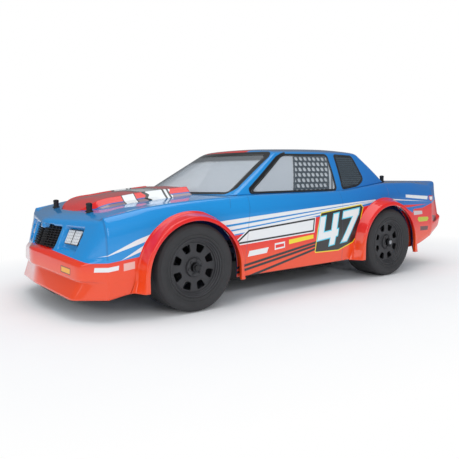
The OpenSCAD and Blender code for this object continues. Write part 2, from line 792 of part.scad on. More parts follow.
module nut(y) {
    color([0.12, 0.12, 0.13]) difference() {
        union() {
            translate([disc_x + 1.7, y, z_axle]) rotate([0, 90, 0]) cylinder(h = nut_wall, r = 4.6, $fn = 6);
            x_cylinder(disc_x + 1.7, disc_x + 2.6, y, z_axle, 5.4);
        }
        x_cylinder(disc_x, disc_x + 9, y, z_axle, axle_radius + run_fit);
    }
}

module driveshaft() {
    color([0.4, 0.41, 0.43]) {
        x_cylinder(18, 32, y_rear, z_axle, 6.4);
        x_cylinder(31, kingpin_x - 17, y_rear, z_axle, 2.2);
        x_cylinder(kingpin_x - 18, kingpin_x - 8.4, y_rear, z_axle, 5.5);
        x_cylinder(kingpin_x - 9, rim_out + 1.5, y_rear, z_axle, axle_radius);
        x_cylinder(kingpin_x + 6.4, hub_in - 0.1, y_rear, z_axle, 6);
    }
}

module front_left_wheel() wheel(y_front, axle_radius + run_fit);
module front_left_tyre() tyre(y_front);
module front_left_nut() nut(y_front);
module front_right_wheel() mirror([1, 0, 0]) wheel(y_front, axle_radius + run_fit);
module front_right_tyre() mirror([1, 0, 0]) tyre(y_front);
module front_right_nut() mirror([1, 0, 0]) nut(y_front);
module rear_left_wheel() wheel(y_rear, axle_radius + run_fit);
module rear_left_tyre() tyre(y_rear);
module rear_left_nut() nut(y_rear);
module rear_left_driveshaft() driveshaft();
module rear_right_wheel() mirror([1, 0, 0]) wheel(y_rear, axle_radius + run_fit);
module rear_right_tyre() mirror([1, 0, 0]) tyre(y_rear);
module rear_right_nut() mirror([1, 0, 0]) nut(y_rear);
module rear_right_driveshaft() mirror([1, 0, 0]) driveshaft();

chassis_tub();
front_bumper();
front_bulkhead();
front_arms();
front_hub_carriers();
front_camber_links();
front_shock_tower();
front_shocks();
steering_servo();
gearbox();
motor();
gear_cover();
rear_arms();
rear_hub_carriers();
rear_camber_links();
rear_shock_tower();
rear_shocks();
battery();
battery_strap();
speed_controller();
receiver_box();
front_body_posts();
front_post_bracket();
rear_body_posts();
rear_post_bracket();
body_shell();
windshield();
rear_window();
door_windows();
quarter_windows();
servo_horn();
servo_link();
left_bellcrank();
right_bellcrank();
drag_link();
left_tie_rod();
right_tie_rod();
left_knuckle();
right_knuckle();
front_left_wheel();
front_left_tyre();
front_left_nut();
front_right_wheel();
front_right_tyre();
front_right_nut();
rear_left_wheel();
rear_left_tyre();
rear_left_nut();
rear_left_driveshaft();
rear_right_wheel();
rear_right_tyre();
rear_right_nut();
rear_right_driveshaft();
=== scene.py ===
import json
import bpy
import bmesh
import numpy as np
from mathutils import Matrix, Vector


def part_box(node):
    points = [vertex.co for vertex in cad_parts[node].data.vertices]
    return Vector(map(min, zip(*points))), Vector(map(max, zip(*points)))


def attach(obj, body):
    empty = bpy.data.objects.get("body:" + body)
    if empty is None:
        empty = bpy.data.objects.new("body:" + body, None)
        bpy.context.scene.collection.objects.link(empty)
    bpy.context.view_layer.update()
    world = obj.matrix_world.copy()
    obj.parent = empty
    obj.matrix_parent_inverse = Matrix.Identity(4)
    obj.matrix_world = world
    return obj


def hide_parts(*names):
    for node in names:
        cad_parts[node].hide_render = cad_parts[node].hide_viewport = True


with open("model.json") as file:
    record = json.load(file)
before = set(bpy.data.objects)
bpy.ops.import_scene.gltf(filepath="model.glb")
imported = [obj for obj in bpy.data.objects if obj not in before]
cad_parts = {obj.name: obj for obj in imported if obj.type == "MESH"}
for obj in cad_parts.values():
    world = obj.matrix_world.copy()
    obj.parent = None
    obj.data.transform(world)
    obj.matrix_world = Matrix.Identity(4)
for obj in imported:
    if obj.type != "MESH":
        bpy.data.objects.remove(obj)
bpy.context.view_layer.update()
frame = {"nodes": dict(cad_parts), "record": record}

# ---- Studio ----
# A pale sweep of paper under soft lamps, with the camera low at the car's left front corner.
# Away from the car the paper reads white to the camera, and it keeps the contact shadow.
MM = 0.001
camera_data = bpy.data.cameras.new("camera")
camera_data.sensor_width = 36.0
camera_data.lens = 39.66
camera_data.shift_x = 0.0044
camera = bpy.data.objects.new("camera", camera_data)
bpy.context.scene.collection.objects.link(camera)
look = Vector((-0.80709, 0.58141, -0.10277)).normalized()
right = look.cross(Vector((0, 0, 1))).normalized()
level_up = right.cross(look)
roll = -0.0111
side_axis = right * np.cos(roll) + level_up * np.sin(roll)
up_axis = level_up * np.cos(roll) - right * np.sin(roll)
camera.matrix_world = Matrix.Translation(Vector((513.12, -403.08, 125.25)) * MM) @ Matrix(
    (side_axis, up_axis, -look)).transposed().to_4x4()
bpy.context.scene.camera = camera
bpy.context.scene.view_settings.view_transform = "Standard"


def lamp(name, place, aim, size, power):
    """A square soft box at place, facing aim."""
    data = bpy.data.lights.new(name, "AREA")
    data.size = size
    data.energy = power
    obj = bpy.data.objects.new(name, data)
    obj.location = place
    obj.rotation_euler = (Vector(aim) - Vector(place)).to_track_quat("-Z", "Y").to_euler()
    bpy.context.scene.collection.objects.link(obj)
    return obj


lamp("top_box", (0.15, -0.1, 1.5), (0, 0, 0), 1.5, 11)
lamp("left_box", (1.6, -0.4, 0.7), (0, 0, 0.06), 0.9, 6)
lamp("front_box", (0.1, -1.7, 0.6), (0, 0, 0.06), 0.8, 3)


def mesh_object(name, verts, faces, smooth_faces=True):
    """An object at the origin whose mesh holds these millimetre points, as metres."""
    mesh = bpy.data.meshes.new(name)
    mesh.from_pydata((np.asarray(verts, float) * MM).tolist(), [], np.asarray(faces).tolist())
    mesh.polygons.foreach_set("use_smooth", [smooth_faces] * len(mesh.polygons))
    mesh.update()
    obj = bpy.data.objects.new(name, mesh)
    bpy.context.scene.collection.objects.link(obj)
    return obj


floor = mesh_object("studio_floor", [(-9e3, -9e3, 0), (9e3, -9e3, 0), (9e3, 9e3, 0), (-9e3, 9e3, 0)],
                    [(0, 1, 2, 3)])


class Socket:
    """A node output in a material; arithmetic on it adds Math nodes."""

    def __init__(self, material, output):
        self.material, self.output = material, output

    def node(self, kind, settings=None, **inputs):
        """One more node of a kind, with its settings, then its inputs by name or number."""
        return add_node(self.material, kind, settings, **inputs)

    def math(self, operation, *others, clamp=False):
        values = {f"i{n}": v for n, v in enumerate((self,) + others)}
        return self.node("ShaderNodeMath", {"operation": operation, "use_clamp": clamp}, **values)

    def __add__(self, other):
        return self.math("ADD", other)

    def __sub__(self, other):
        return self.math("SUBTRACT", other)

    def __mul__(self, other):
        return self.math("MULTIPLY", other)

    def __rsub__(self, other):
        return (self * -1.0).math("ADD", other)

    def __neg__(self):
        return self * -1.0

    __radd__, __rmul__ = __add__, __mul__

    def abs(self):
        return self.math("ABSOLUTE")

    def max(self, other):
        return self.math("MAXIMUM", other)

    def min(self, other):
        return self.math("MINIMUM", other)

    def below(self, edge, soft=0.15):
        """1 where the value is under edge, 0 above, across a soft step in millimetres."""
        return ((edge - self) * (0.5 / soft) + 0.5).math("MULTIPLY", 1.0, clamp=True)


def add_node(material, kind, settings=None, output=0, **inputs):
    """Adds a node, sets it up, and links or sets its inputs: iN is input number N."""
    node = material.node_tree.nodes.new(kind)
    for key, value in (settings or {}).items():
        setattr(node, key, value)
    for key, value in inputs.items():
        place = int(key[1:]) if key[0] == "i" and key[1:].isdigit() else key.replace("_", " ")
        if isinstance(value, Socket):
            material.node_tree.links.new(value.output, node.inputs[place])
        else:
            node.inputs[place].default_value = value
    return Socket(material, node.outputs[output])


def srgb(r, g, b):
    """Linear colour of a display colour given in 0 to 255."""
    c = np.array([r, g, b]) / 255
    return (*np.where(c <= 0.04045, c / 12.92, ((c + 0.055) / 1.055) ** 2.4), 1.0)


def new_material(name, **shader):
    """A Principled material; shader sets its sockets by name. Returns it and its place in millimetres."""
    material = bpy.data.materials.new(name)
    material.use_nodes = True
    bsdf = material.node_tree.nodes["Principled BSDF"]
    for key, value in shader.items():
        bsdf.inputs[key.replace("_", " ")].default_value = value
    scaled = add_node(material, "ShaderNodeVectorMath", {"operation": "SCALE"},
                      Vector=add_node(material, "ShaderNodeTexCoord", output="Object"), Scale=1 / MM)
    return material, scaled


def drive(material, **links):
    """Links values to the Principled shader's sockets."""
    bsdf = material.node_tree.nodes["Principled BSDF"]
    for key, value in links.items():
        material.node_tree.links.new(value.output, bsdf.inputs[key.replace("_", " ")])


def split(place):
    """The x, y and z of a vector socket."""
    node = place.material.node_tree.nodes.new("ShaderNodeSeparateXYZ")
    place.material.node_tree.links.new(place.output, node.inputs[0])
    return [Socket(place.material, node.outputs[i]) for i in range(3)]


def mix(mask, low, high):
    """Colour low where mask is 0 and high where it is 1."""
    node = mask.material.node_tree.nodes.new("ShaderNodeMix")
    node.data_type = "RGBA"
    mask.material.node_tree.links.new(mask.output, node.inputs[0])
    for place, value in ((6, low), (7, high)):
        if isinstance(value, Socket):
            mask.material.node_tree.links.new(value.output, node.inputs[place])
        else:
            node.inputs[place].default_value = value
    return Socket(mask.material, node.outputs[2])


def noise(place, scale, detail=3.0, rough=0.55):
    """Fractal noise over a millimetre place; scale is in turns per millimetre."""
    return place.node("ShaderNodeTexNoise", None, Vector=place, Scale=scale, Detail=detail,
                      Roughness=rough)


def bump(height, strength, distance):
    """A normal tilted by a height; distance is its depth in metres."""
    return height.node("ShaderNodeBump", None, Height=height, Strength=strength, Distance=distance)


def shader_mix(tree, factor, low, high):
    """A Mix Shader's output: low where the factor is 0 and high where it is 1."""
    node = tree.nodes.new("ShaderNodeMixShader")
    for place, output in enumerate((factor, low, high)):
        tree.links.new(output, node.inputs[place])
    return node.outputs[0]


def light_shader(tree, kind, colour, strength):
    """An Emission or Background node's output."""
    node = tree.nodes.new(kind)
    node.inputs["Color"].default_value = colour
    node.inputs["Strength"].default_value = strength
    return node.outputs[0]


PURE_WHITE = (1, 1, 1, 1)
CLEAR_REACH, FADE_WIDTH = 170, 260
paper, paper_place = new_material("studio_paper", Roughness=0.9)
seen = add_node(paper, "ShaderNodeLightPath", output="Is Camera Ray")
drive(paper, Base_Color=mix(noise(paper_place, 0.02), (0.88, 0.89, 0.91, 1), (0.92, 0.93, 0.94, 1)))
paper_x, paper_y = split(paper_place)[:2]
reach = (paper_x * paper_x * 1.4 + paper_y * paper_y * 0.55).math("SQRT")
fade = ((reach - CLEAR_REACH) * (1 / FADE_WIDTH)).math("MULTIPLY", 1.0, clamp=True) * seen
tree = paper.node_tree
tree.links.new(shader_mix(tree, fade.output, tree.nodes["Principled BSDF"].outputs[0],
                          light_shader(tree, "ShaderNodeEmission", PURE_WHITE, 1.0)),
               tree.nodes["Material Output"].inputs["Surface"])
floor.data.materials.append(paper)

# The sky: white to the camera, pale blue-white as light, and dimmer where gloss mirrors it.
world = bpy.data.worlds.new("studio")
bpy.context.scene.world = world
world.use_nodes = True
tree = world.node_tree
rays = tree.nodes.new("ShaderNodeLightPath")
lit = shader_mix(tree, rays.outputs["Is Camera Ray"],
                 light_shader(tree, "ShaderNodeBackground", (0.93, 0.96, 1.0, 1), 0.55),
                 light_shader(tree, "ShaderNodeBackground", PURE_WHITE, 1.0))
tree.links.new(shader_mix(tree, rays.outputs["Is Glossy Ray"], lit,
                          light_shader(tree, "ShaderNodeBackground", (0.9, 0.95, 1.0, 1), 0.2)),
               tree.nodes["World Output"].inputs["Surface"])

# ---- Body shell ----
# One vacuum-formed sheet of clear plastic, painted from inside: a skirt that runs round the
# car from the nose to the tail, the hood and deck above it, and the cabin with its cut-outs.
# Points are millimetres; station lines are read at places along the car.
joint_at = {j["name"]: [v / MM for v in j["pos_m"]] for j in frame["record"]["behaviour"]["joints"]}
front_axle = joint_at["left_steering"][1]
rear_axle, axle_z = joint_at["rear_left_spin"][1:]
shell_low, shell_high = [np.array(corner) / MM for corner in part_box("body_shell")]
nose_y, tail_y, half_width = shell_low[1], shell_high[1], shell_high[0]
sheet_wall = 1.1


def curve(points, at):
    """Monotone cubic through (place, value) points, read at an array of places."""
    p = np.array(points, float)
    x, y = p[:, 0], p[:, 1]
    h, d = np.diff(x), np.diff(y) / np.diff(x)
    m = np.concatenate([[d[0]], np.where(d[1:] * d[:-1] > 0, 2 * d[1:] * d[:-1] / (d[1:] + d[:-1] + 1e-12),
                                         0), [d[-1]]])
    at = np.clip(np.asarray(at, float), x[0], x[-1])
    i = np.clip(np.searchsorted(x, at) - 1, 0, len(h) - 1)
    t = (at - x[i]) / h[i]
    return ((1 + 2 * t) * (1 - t) ** 2 * y[i] + t * (1 - t) ** 2 * h[i] * m[i]
            + t * t * (3 - 2 * t) * y[i + 1] + t * t * (t - 1) * h[i] * m[i + 1])


def fillet(keys, radii, spans, turn=5):
    """Polylines through keys (..., K, 3): inner corners become quadratic arcs of the given reach."""
    keys = np.asarray(keys, float)
    count = keys.shape[-2]
    out, start = [], keys[..., 0, :]
    for i in range(1, count):
        end = keys[..., i, :]
        if i < count - 1:
            back, ahead = keys[..., i - 1, :] - end, keys[..., i + 1, :] - end
            lb = np.linalg.norm(back, axis=-1, keepdims=True)
            la = np.linalg.norm(ahead, axis=-1, keepdims=True)
            a = end + back / lb * np.minimum(radii[i - 1], lb * 0.48)
            b = end + ahead / la * np.minimum(radii[i - 1], la * 0.48)
        else:
            a = b = end
        out += [start + (a - start) * (k / spans[i - 1]) for k in range(spans[i - 1])]
        if i < count - 1:
            out += [(1 - t) ** 2 * a + 2 * t * (1 - t) * end + t * t * b
                    for t in np.arange(turn) / turn]
        start = b
    out.append(start)
    return np.stack(out, axis=-2)


def grid(points, keep=None):
    """Quads of a (rows, columns, 3) grid; keep is a signed field whose zero line trims it.

    A corner below zero slides along its grid edge to the zero crossing beside it.
    """
    points = points.copy()
    rows, cols = points.shape[:2]
    index = np.arange(rows * cols).reshape(rows, cols)
    quads = np.stack([index[:-1, :-1], index[1:, :-1], index[1:, 1:], index[:-1, 1:]], -1).reshape(-1, 4)
    if keep is not None:
        source, field = points.copy(), keep
        best = np.zeros_like(field)
        for dr, dc in ((0, 1), (0, -1), (1, 0), (-1, 0), (1, 1), (-1, -1), (1, -1), (-1, 1)):
            near_f = np.roll(field, (-dr, -dc), (0, 1))
            near_p = np.roll(source, (-dr, -dc), (0, 1))
            inside = np.zeros_like(field, bool)
            inside[max(0, -dr):rows - max(0, dr), max(0, -dc):cols - max(0, dc)] = True
            use = inside & (field < 0) & (near_f > best)
            step = (-field / np.maximum(near_f - field, 1e-9))[..., None]
            points = np.where(use[..., None], source + (near_p - source) * step, points)
            best = np.where(use, near_f, best)
        quads = quads[(field.reshape(-1)[quads] > 0).any(1)]
    return points.reshape(-1, 3), quads


def part(points, keep=None, slot=0, value=0):
    """One grid's entry for joined: its trimmed quads, material number and traced value."""
    return (*grid(points, keep), slot, value)


def joined(name, parts, mirrored=True, weld=0.02):
    """One mesh from (points, quads, material number, value) parts and their mirrors, welded.

    Each point's value is kept in the mesh attribute "trace" for the painted lines.
    """
    verts, faces, slots, values, start = [], [], [], [], 0
    for points, quads, slot, value in parts:
        for sign in ((1, -1) if mirrored else (1,)):
            verts.append(points * [sign, 1, 1])
            faces.append((quads if sign == 1 else quads[:, ::-1]) + start)
            slots.append(np.full(len(quads), slot))
            values.append(np.broadcast_to(np.ravel(value), len(points)))
            start += len(points)
    obj = mesh_object(name, np.concatenate(verts), np.concatenate(faces))
    obj.data.polygons.foreach_set("material_index", np.concatenate(slots))
    trace = obj.data.attributes.new("trace", "FLOAT", "POINT")
    trace.data.foreach_set("value", np.concatenate(values).astype(np.float32))
    work = bmesh.new()
    work.from_mesh(obj.data)
    loose = [v for v in work.verts if not v.link_faces]
    bmesh.ops.delete(work, geom=loose, context="VERTS")
    bmesh.ops.remove_doubles(work, verts=work.verts, dist=weld * MM)
    bmesh.ops.dissolve_degenerate(work, edges=work.edges, dist=weld * MM)
    bmesh.ops.recalc_face_normals(work, faces=work.faces)
    work.to_mesh(obj.data)
    work.free()
    return obj


def thicken(obj, wall, inside=None):
    """Gives a sheet its wall, in millimetres, behind its face; the back and rim may use another material."""
    made = obj.modifiers.new("wall", "SOLIDIFY")
    made.thickness = wall * MM
    made.offset = -1
    made.use_quality_normals = True
    if inside:
        obj.data.materials.append(inside)
        made.material_offset = made.material_offset_rim = len(obj.data.materials)


def lines(y):
    """Half-width, shoulder height and lower-edge height of the skirt at stations y."""
    s = np.asarray(y) - front_axle
    width = curve([(-84, 111), (-60, 112), (-20, 113), (60, 113.6), (200, 113.6), (330, 113), (395, 110)], s)
    shoulder = curve([(-84, 90.5), (-60, 95), (-41, 98.5), (10, 103), (53, 105), (75, 106), (150, 106.4),
                      (215, 107.4), (256, 111), (300, 115), (345, 115), (395, 111.5)], s)
    low = curve([(-84, 21), (-60, 24.5), (-30, 25), (220, 26), (355, 31), (366, 33), (395, 42)], s)
    return width, shoulder, low


def side_keys(y):
    """Key points of the skirt at stations y: lower edge, tuck, band lines, swage, shoulder, inner rim."""
    w, c, low = lines(y)
    x = np.stack([w - 1.5, w - 0.8, w - 0.5, w, w, w - 1.0, w - 6.5, w - 11], -1)
    z = np.stack([low, np.maximum(low + 3, 36), np.maximum(low + 5, 38), np.full_like(w, 56.0),
                  np.full_like(w, 59.0), c - 11, c, c + 0.9], -1)
    return np.stack([x, np.broadcast_to(np.asarray(y, float)[:, None], x.shape), z], -1)


nose_join, tail_join = nose_y + 34, tail_y - 36
nose_keys = np.array([
    [[0, 3, 24], [80, 13, 19]], [[0, 6, 42], [84, 20, 35.5]], [[0, 0.8, 43.5], [86, 17.5, 36.5]],
    [[0, 0.4, 59.5], [86, 18.5, 50.5]], [[0, 6.5, 62.5], [85.5, 21.5, 53.5]],
    [[0, 13, 79.5], [98, 31.5, 80]], [[0, 15, 86], [100, 33, 88]], [[0, 22, 88.2], [95, 38, 90.4]]], float)
nose_keys[..., 1] += nose_y
nose_edge = side_keys([nose_join + 2])[0]
nose_keys = np.concatenate([(nose_keys[:, 1] * [-1, 1, 1])[:, None], nose_keys, nose_edge[:, None]], 1)
nose_spans = (50, 70, 16)
nose_cols = fillet(nose_keys, (9, 6), nose_spans, 8)[:, nose_spans[0] + 4:]
tail_keys = np.array([
    [[99, -14, 45], [0, -12, 45]], [[101, -9, 50], [0, -6, 50]], [[103, -6, 55], [0, -2, 55]],
    [[104.5, -4, 68], [0, -0.3, 69]], [[103, -8.5, 71], [0, -5.5, 72]], [[99.5, -13.5, 100], [0, -11, 100]],
    [[98, -12, 117], [0, -9.5, 117.5]], [[93, -17, 116.8], [0, -15, 117.3]]], float)
tail_keys[..., 1] += tail_y
tail_edge = side_keys([tail_join])[0]
tail_mirror = tail_keys[:, 0] * [-1, 1, 1]
tail_keys = np.concatenate([tail_edge[:, None], tail_keys, tail_mirror[:, None]], 1)
tail_cols = fillet(tail_keys, (7, 20), (14, 60, 40), 8)[:, :14 + 8 + 60 + 5]
side_y = np.linspace(nose_join + 2, tail_join, 240)
side_cols = np.swapaxes(side_keys(side_y), 0, 1)
skirt_keys = np.concatenate([nose_cols[:, :-1], side_cols, tail_cols[:, 1:]], 1)
n_nose, n_side = nose_cols.shape[1], len(side_y)
skirt = fillet(np.swapaxes(skirt_keys, 0, 1), (1.2, 1.6, 2.2, 1.6, 5, 4.5), (10, 2, 12, 2, 14, 6, 3), 5)
inner_rim = skirt[:, -1]

arch_tops = {front_axle: 86.0, rear_axle: 88.0}
arch_r = 49.5


def arch_field(y, z, reach):
    """Distance outside an arch whose radius is the opening's plus reach; legs run straight down."""
    gap = np.full(np.shape(y), 1e3)
    for axle, top in arch_tops.items():
        centre = top - arch_r
        away = np.hypot(y - axle, np.maximum(z - centre, 0)) - (arch_r + reach)
        gap = np.minimum(gap, away)
    return gap


def recess(p, outline, depth, soft=1.2):
    """Pushes points back where they fall inside a convex (x, z) outline."""
    inside = convex(np.abs(p[..., 0]), p[..., 2], outline, 2.0)
    return np.clip(-inside / soft, 0, 1) * depth


def convex(a, b, outline, rounding):
    """Signed distance to a convex outline with rounded corners, from its edge lines."""
    pts = np.array(outline, float)
    nxt = np.roll(pts, -1, 0)
    turn = np.sign(np.sum(pts[:, 0] * nxt[:, 1] - nxt[:, 0] * pts[:, 1]))
    edge = nxt - pts
    normal = np.stack([edge[:, 1], -edge[:, 0]], -1) * turn / np.linalg.norm(edge, axis=1, keepdims=True)
    d = (np.asarray(a)[..., None] - pts[:, 0]) * normal[:, 0]
    d = d + (np.asarray(b)[..., None] - pts[:, 1]) * normal[:, 1] + rounding
    return np.minimum(d.max(-1), 0) + np.sqrt((np.maximum(d, 0) ** 2).sum(-1)) - rounding


grille_outline = [(-3, 59.5), (35, 59), (41, 80.5), (-3, 83.5)]
crest_outline = [(-3, 76), (6, 78), (7, 90), (-3, 90)]
lamp_outline = [(42, 60), (73, 60), (79, 81.5), (46, 82)]
nose_part = skirt[:n_nose + 4]
grille_push = recess(nose_part, grille_outline, 5.5) * (1 - np.clip(-convex(
    np.abs(nose_part[..., 0]), nose_part[..., 2], crest_outline, 1.5), 0, 1))
fascia = nose_part[..., 1] < nose_y + 40
nose_part[..., 1] += np.where(fascia, grille_push + recess(nose_part, lamp_outline, 4.5), 0)


def centre_line(y):
    """Height of the hood and deck on the centre line."""
    s = np.asarray(y) - front_axle
    return curve([(-98, 88.2), (-84, 92), (-43, 99.5), (10, 105), (34, 107.8), (200, 112), (300, 117),
                  (370, 115.5), (402, 117)], s)


def top_surface(front_row, edge, behind, settle):
    """Hood or deck: rows follow the edge points, columns follow the front row.

    x is the column's share of the edge, y slides from the end row's shape to a bowed line, and
    z falls from the centre line to the edge with the 2.2nd power of the share; the front row's own
    heights die away behind it over the settle length.
    """
    share = (front_row[:, 0] / front_row[-1, 0])[None, :]
    t = np.linspace(0, 1, len(edge))[:, None]
    x = share * edge[:, :1]
    bow = (front_row[:, 1] - front_row[-1, 1])[None, :] * (1 - t) + behind * (1 - share ** 2) * t
    y = edge[:, 1:2] + bow
    z = edge[:, 2:3] + (centre_line(y) - edge[:, 2:3]) * (1 - share ** 2.2)
    miss = front_row[None, :, 2] - z[:1]
    z = z + miss * np.exp(-np.abs(y - y[:1]) / settle)
    return np.stack([x, y, z], -1)


cowl_y = front_axle + 64
hood_rows = side_y < cowl_y
hood_edge = inner_rim[n_nose - 1:n_nose - 1 + n_side][hood_rows]
hood = top_surface(inner_rim[:n_nose], hood_edge, -30.0, 10.0)
deck_rows = side_y > rear_axle + 14
deck_edge = inner_rim[n_nose - 1:n_nose - 1 + n_side][deck_rows][::-1]
tail_row = inner_rim[n_nose + n_side - 2:][::-1]
deck = top_surface(tail_row, deck_edge, 16.0, 6.0)

# Shoulder ledge beside the cabin, from the rim up to the foot of the glass.
side_slope = 0.5
base_x, base_z, roof_z = 100.0, 107.0, 153.4
ledge_rows = (side_y >= hood_edge[-1, 1] - 0.01) & (side_y <= deck_edge[-1, 1] + 0.01)
ledge_out = inner_rim[n_nose - 1:n_nose - 1 + n_side][ledge_rows]


def cabin_base(y):
    """Foot of the cabin's side: its height rises over the rear quarter and it leans in."""
    z = curve([(50, 107), (215, 107.6), (256, 111.4), (305, 117)], np.asarray(y) - front_axle)
    return np.stack([base_x - side_slope * (z - base_z), y, z], -1)


ledge = fillet(np.stack([ledge_out, cabin_base(ledge_out[:, 1]) - [0, 0, 1.0],
                         cabin_base(ledge_out[:, 1]) + [-2, 0, 1]], 1), (1.5,), (3, 2), 3)

# Cabin: plan loops at the foot and at the roof's edge, ruled between, then drawn in to a spine.
n_glass, n_door, n_back = 70, 190, 50
a_foot, a_top = np.array([100.0, cowl_y - 3.6, 107]), np.array([76.7, front_axle + 135.4, roof_z])
c_foot, c_top = np.array([95.0, rear_axle + 19, 117]), np.array([76.9, rear_axle - 15.5, roof_z])


def loop(a, c, front_bow, back_bow, z_front, z_back, height):
    """Half a plan loop: bowed front, straight side from corner a to corner c, bowed back."""
    w = np.linspace(0, 1, n_glass, endpoint=False)[:, None]
    front = a * [1, 0, 0] * w + [0, 1, 0] * (a[1] + front_bow * (1 - w ** 2)) + [0, 0, 1] * (
        a[2] + (z_front - a[2]) * (1 - w ** 2.5))
    s = np.linspace(0, 1, n_door)
    y = a[1] + (c[1] - a[1]) * s
    z = height(y, s)
    side = np.stack([base_x - side_slope * (z - base_z), y, z], -1)
    w = np.linspace(1, 0, n_back + 1)[1:, None]
    back = c * [1, 0, 0] * w + [0, 1, 0] * (c[1] + back_bow * (1 - w ** 2)) + [0, 0, 1] * (
        c[2] + (z_back - c[2]) * (1 - w ** 2.5))
    return np.concatenate([front, side, back])


foot_loop = loop(a_foot, c_foot, -30.5, 16.0, 107.0, 116.5, lambda y, s: cabin_base(y)[:, 2])
roof_loop = loop(a_top, c_top, -28.0, 6.5, 154.6, 157.2,
                 lambda y, s: np.full_like(y, roof_z) + 0.9 * np.sin(np.pi * s))


def roof_height(x, y):
    """Crowned roof: highest towards the back of the centre line, falling to its edges."""
    ridge = curve([(100, 153.8), (122, 157.2), (159, 159.6), (247, 161.3), (268, 160.2), (284, 157)],
                  y - front_axle)
    return roof_z + (ridge - roof_z) * (1 - np.clip(np.abs(x) / 77.5, 0, 1) ** 2.2)


spine_y = np.clip(roof_loop[:, 1], front_axle + 150, rear_axle - 40)
spine = np.stack([roof_loop[:, 0] * 0, spine_y, spine_y], -1)
spans = np.linspace(0, 1, 26)[:, None]
wall_rows = foot_loop[None] + (roof_loop - foot_loop)[None] * np.linspace(0, 1, 44)[:-1, None, None]
lean = np.sin(np.pi * np.linspace(0, 1, 44)[:-1])[:, None] * 1.1
wall_rows[..., 0] += lean * (np.abs(wall_rows[..., 0]) / 90)
roof_rows = roof_loop[None] + (spine - roof_loop)[None] * np.linspace(0, 1, 30)[:, None, None]
roof_rows[..., 2] = roof_height(roof_rows[..., 0], roof_rows[..., 1])
lip_fix = (roof_loop[:, 2] - roof_rows[0, :, 2])[None] * np.exp(-np.arange(30) / 3.0)[:, None]
roof_rows[..., 2] += lip_fix
cabin = np.concatenate([wall_rows, roof_rows])


def soften(p, rows, passes):
    """Averages each listed row with its neighbours, which rounds the edge there."""
    for _ in range(passes):
        p[rows] = (p[rows - 1] + 2 * p[rows] + p[rows + 1]) / 4
    return p


cabin = soften(cabin, np.arange(41, 46), 6)
corner_cols = np.concatenate([np.arange(n_glass - 3, n_glass + 4),
                              np.arange(n_glass + n_door - 4, n_glass + n_door + 3)])
cabin = np.swapaxes(soften(np.swapaxes(cabin, 0, 1).copy(), corner_cols, 5), 0, 1).copy()

door_outline = [(79, 108.6), (142.5, 150.2), (216, 151.0), (212, 109.0)]
quarter_outline = [(223, 110.0), (229, 151.0), (260.5, 149.8), (266, 121.5), (254.5, 113.5)]
shift = lambda pts: [(a + front_axle, b) for a, b in pts]
screen_outline = [(-91, 108.8), (91, 108.8), (73, 150.3), (-73, 150.3)]
back_outline = [(-77, 121), (77, 121), (62, 150.0), (-62, 150.0)]


def window_field(p):
    """Distance outside the nearest cut-out: door and quarter glass by side view, ends by front view."""
    side = np.zeros(p.shape[:2], bool)
    side[:, n_glass:n_glass + n_door] = True
    door = convex(p[..., 1], p[..., 2], shift(door_outline), 4)
    quarter = convex(p[..., 1], p[..., 2], shift(quarter_outline), 3)
    screen = convex(p[..., 0], p[..., 2], screen_outline, 4)
    back = convex(p[..., 0], p[..., 2], back_outline, 4)
    far = 1e3
    ahead = np.arange(p.shape[1])[None] < n_glass
    behind = np.arange(p.shape[1])[None] >= n_glass + n_door
    return {"door": np.where(side, door, far), "quarter": np.where(side, quarter, far),
            "screen": np.where(ahead, screen, far), "back": np.where(behind, back, far)}


fields = window_field(cabin)
open_field = np.minimum.reduce(list(fields.values()))


def flare_patch(axle, top, edge, root):
    """Flared lip: a profile of (radius, x) carried up one leg, over the arch and down the other.

    edge is the depth of the flat face around the arch and root that of the ledge at the car's side.
    """
    centre = top - arch_r
    profile = fillet(np.array([[arch_r + 0.3, half_width - 4.5, 0], [arch_r, half_width - 0.2, 0],
                               [arch_r + edge, half_width - 0.5, 0], [arch_r + root, 113.4, 0],
                               [arch_r + root + 2.0, 111.6, 0]]), (0.8, 1.3, 1.5), (3, 5, 8, 2), 5)
    r, x = profile[:, 0], profile[:, 1]
    phi = np.linspace(0, np.pi, 140)
    leg = np.linspace(0, 1, 16)[:-1]
    foot = 25.0
    up_z = foot + (centre - foot) * leg
    spread = ((1 - leg) ** 1.3)[:, None] * np.clip(r - arch_r, 0, 12)[None] * 0.5
    first = np.stack([np.broadcast_to(x, spread.shape), axle - r[None] - spread,
                      np.broadcast_to(up_z[:, None], spread.shape)], -1)
    over = np.stack([np.broadcast_to(x, (len(phi), len(x))), axle - np.cos(phi)[:, None] * r[None],
                     centre + np.sin(phi)[:, None] * r[None]], -1)
    last = first[::-1] * [1, -1, 1] + [0, 2 * axle, 0]
    return np.concatenate([first, over, last])


flare_steps = {front_axle: (3.6, 6.5), rear_axle: (4.4, 8.5)}
flares = [flare_patch(axle, top, *flare_steps[axle]) for axle, top in arch_tops.items()]

# Raised hood centre: its top lies between two low rails, with a chamfer and a foot outside each.
bulge_y = np.linspace(nose_y + 41, front_axle + 35, 120)
bulge_s = bulge_y - front_axle
crest = curve([(-77, 17), (-76, 22), (-72, 32), (-67, 37.5), (-61, 39.8), (-52, 41), (-39, 41.5), (-16, 43),
               (11, 45.5), (35, 49)], bulge_s)
crest_z = curve([(-77, 93.3), (-76, 93.9), (-72, 97.6), (-67, 100.8), (-61, 104), (-52, 106.4), (-39, 108),
                 (-16, 111.2), (11, 113.8), (35, 115.9)], bulge_s)
chamfer = np.clip(crest_z - 93.6, 0, 5.6)
foot = curve([(-77, 24), (-74, 35), (-67, 44), (-60, 51), (-48, 55), (11, 57), (35, 60)], bulge_s)


